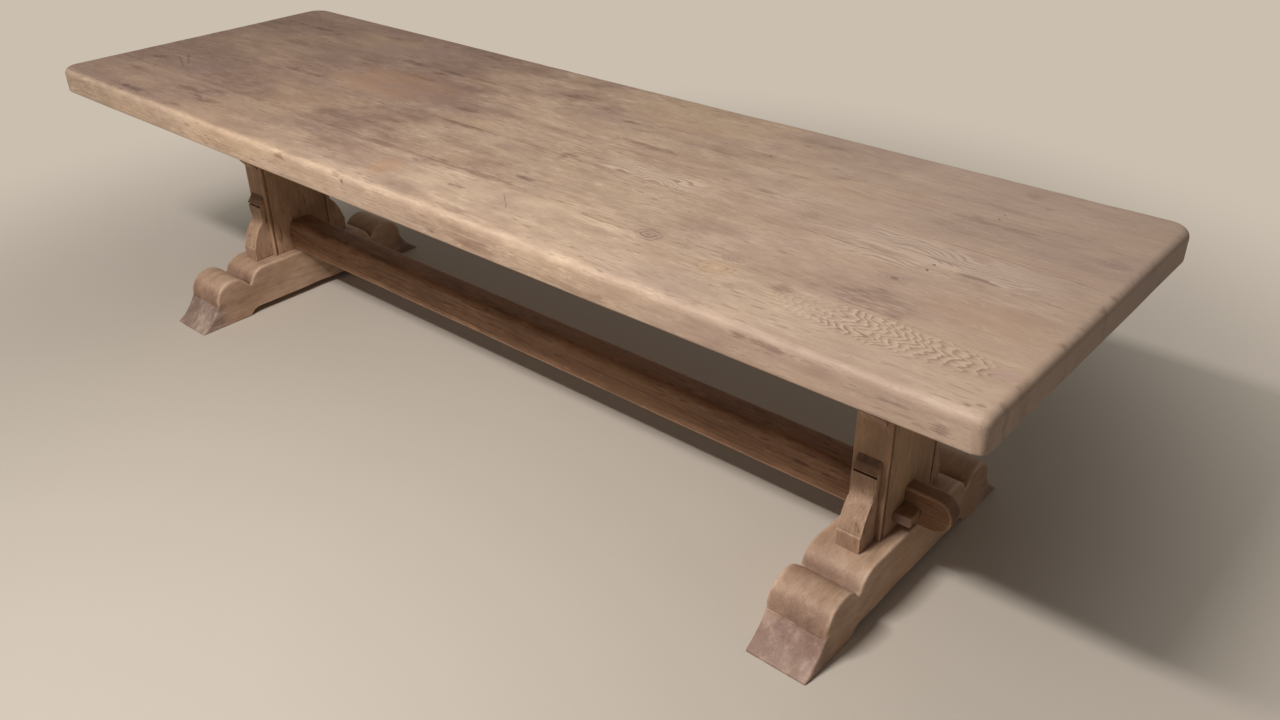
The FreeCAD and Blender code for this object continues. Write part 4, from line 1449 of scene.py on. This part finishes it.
def makeNails(node, tree, material):
    low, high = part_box(node)
    places = [(x, y, high.z) for x, y in nails if abs(x - middleX(node)) < 0.01]
    made = addObject(node + "_iron", newMesh(node + "_places", places, []))
    row = made.modifiers.new("nails", "NODES")
    row.node_group = tree
    values = {
        "Head radius": nailStyle["headRadius"],
        "Head height": nailStyle["headHeight"],
        "Dome share": nailStyle["domeShare"],
        "Shank radius": nailStyle["shankRadius"],
        "Shank length": high.z - low.z,
        "Sides": nailStyle["sides"],
        "Seed": nailStyle["seed"],
        "Finish": material,
    }
    for item in tree.interface.items_tree:
        if item.name in values:
            row[item.identifier] = values[item.name]
    bakeModifiers(made)
    return dressPiece(made, [node], "table", material)


nailIron = ironFinish()
nailRow = nailTree()
for node in ("left_nails", "right_nails"):
    makeNails(node, nailRow, nailIron)
print("nails made")


# Hidden joinery keeps its own solids

innerOak = oak("inner_oak", level=0.6, seed=90)
for node, made in cadNodes.items():
    if node.startswith("spline_") or node.endswith("_dowels"):
        made.data.materials.clear()
        made.data.materials.append(innerOak)


# Floor, light and camera

stageStyle = {
    "floorSize": 14.0,
    "floor": tone(203, 191, 176),
    "floorLumps": ((2.2, 2.2, 2.2), 3),
    "floorShade": 0.96,
    "farFloor": (1.2, 3.0),  # distances between which the floor turns into the pale background
    "paleRays": ("Is Camera Ray", "Is Glossy Ray", "Is Transmission Ray"),  # those that see it
    "sky": (1.0, 0.985, 0.965, 1.0),
    "skyStrength": 0.14,
    "keyPlace": (0.27, -2.25, 3.05),
    "keyAim": (0.1, 0.0, 0.45),
    "keySize": (1.0, 0.18),
    "keyPower": 118,
}


def addFloor():
    half = stageStyle["floorSize"]
    corners = [(-half, -half, 0), (half, -half, 0), (half, half, 0), (-half, half, 0)]
    made = addObject("floor", newMesh("floor", corners, [[0, 1, 2, 3]]))
    paint = Finish(bpy.data.materials.new("floor_paint"))
    x, y, z = paint.objectPlace()
    pale = stageStyle["floor"]
    dull = [value * stageStyle["floorShade"] for value in pale[:3]] + [1]
    colour = paint.mix(paint.noise(paint.vector(x, y, z), *stageStyle["floorLumps"]), dull, pale)
    sockets = {"Base Color": colour, "Roughness": 0.75, "Specular IOR Level": 0.2}
    matt = paint.node("ShaderNodeBsdfPrincipled", {}, sockets)
    glow = paint.node("ShaderNodeEmission", {}, {"Color": pale, "Strength": 1.0})
    far = (x * x + y * y).root().smooth(*stageStyle["farFloor"]) * paint.rays(stageStyle["paleRays"])
    both = paint.node("ShaderNodeMixShader", {}, {0: far, 1: matt, 2: glow})
    paint.node("ShaderNodeOutputMaterial", {}, {"Surface": both})
    made.data.materials.append(paint.owner)


def addKeyLight():
    lamp = bpy.data.lights.new("key", "AREA")
    lamp.shape = "RECTANGLE"
    lamp.size, lamp.size_y = stageStyle["keySize"]
    lamp.energy = stageStyle["keyPower"]
    made = addObject("key", lamp)
    place, aim = Vector(stageStyle["keyPlace"]), Vector(stageStyle["keyAim"])
    made.location = place
    made.rotation_euler = (aim - place).to_track_quat("-Z", "Y").to_euler()


def addSky():
    sky = Finish(bpy.data.worlds.new("sky"))
    sockets = {"Color": stageStyle["sky"], "Strength": stageStyle["skyStrength"]}
    dim = sky.node("ShaderNodeBackground", {}, sockets)
    pale = sky.node("ShaderNodeBackground", {}, {"Color": stageStyle["floor"]})  # as pale as the far floor
    both = sky.node("ShaderNodeMixShader", {}, {0: sky.rays(stageStyle["paleRays"]), 1: dim, 2: pale})
    sky.node("ShaderNodeOutputWorld", {}, {"Surface": both})
    bpy.context.scene.world = sky.owner


cameraStyle = {
    "place": (1.9418, -1.7891, 1.6580),
    "aim": (0.3838, 0.0, 0.2554),
    "roll": -0.0117,  # radians
    "lens": 31.417,
    "sensor": 36.0,
}


def addCamera():
    data = bpy.data.cameras.new("camera")
    data.sensor_width = cameraStyle["sensor"]
    data.lens = cameraStyle["lens"]
    made = addObject("camera", data)
    place = Vector(cameraStyle["place"])
    ahead = (Vector(cameraStyle["aim"]) - place).normalized()
    right = ahead.cross(Vector((0, 0, 1))).normalized()
    up = right.cross(ahead)
    sine, cosine = math.sin(cameraStyle["roll"]), math.cos(cameraStyle["roll"])
    across = right * cosine + up * sine
    rise = up * cosine - right * sine
    made.matrix_world = Matrix.Translation(place) @ Matrix((across, rise, -ahead)).transposed().to_4x4()
    bpy.context.scene.camera = made


addFloor()
addSky()
addKeyLight()
addCamera()
bpy.context.scene.view_settings.view_transform = "Standard"
print("stage set")
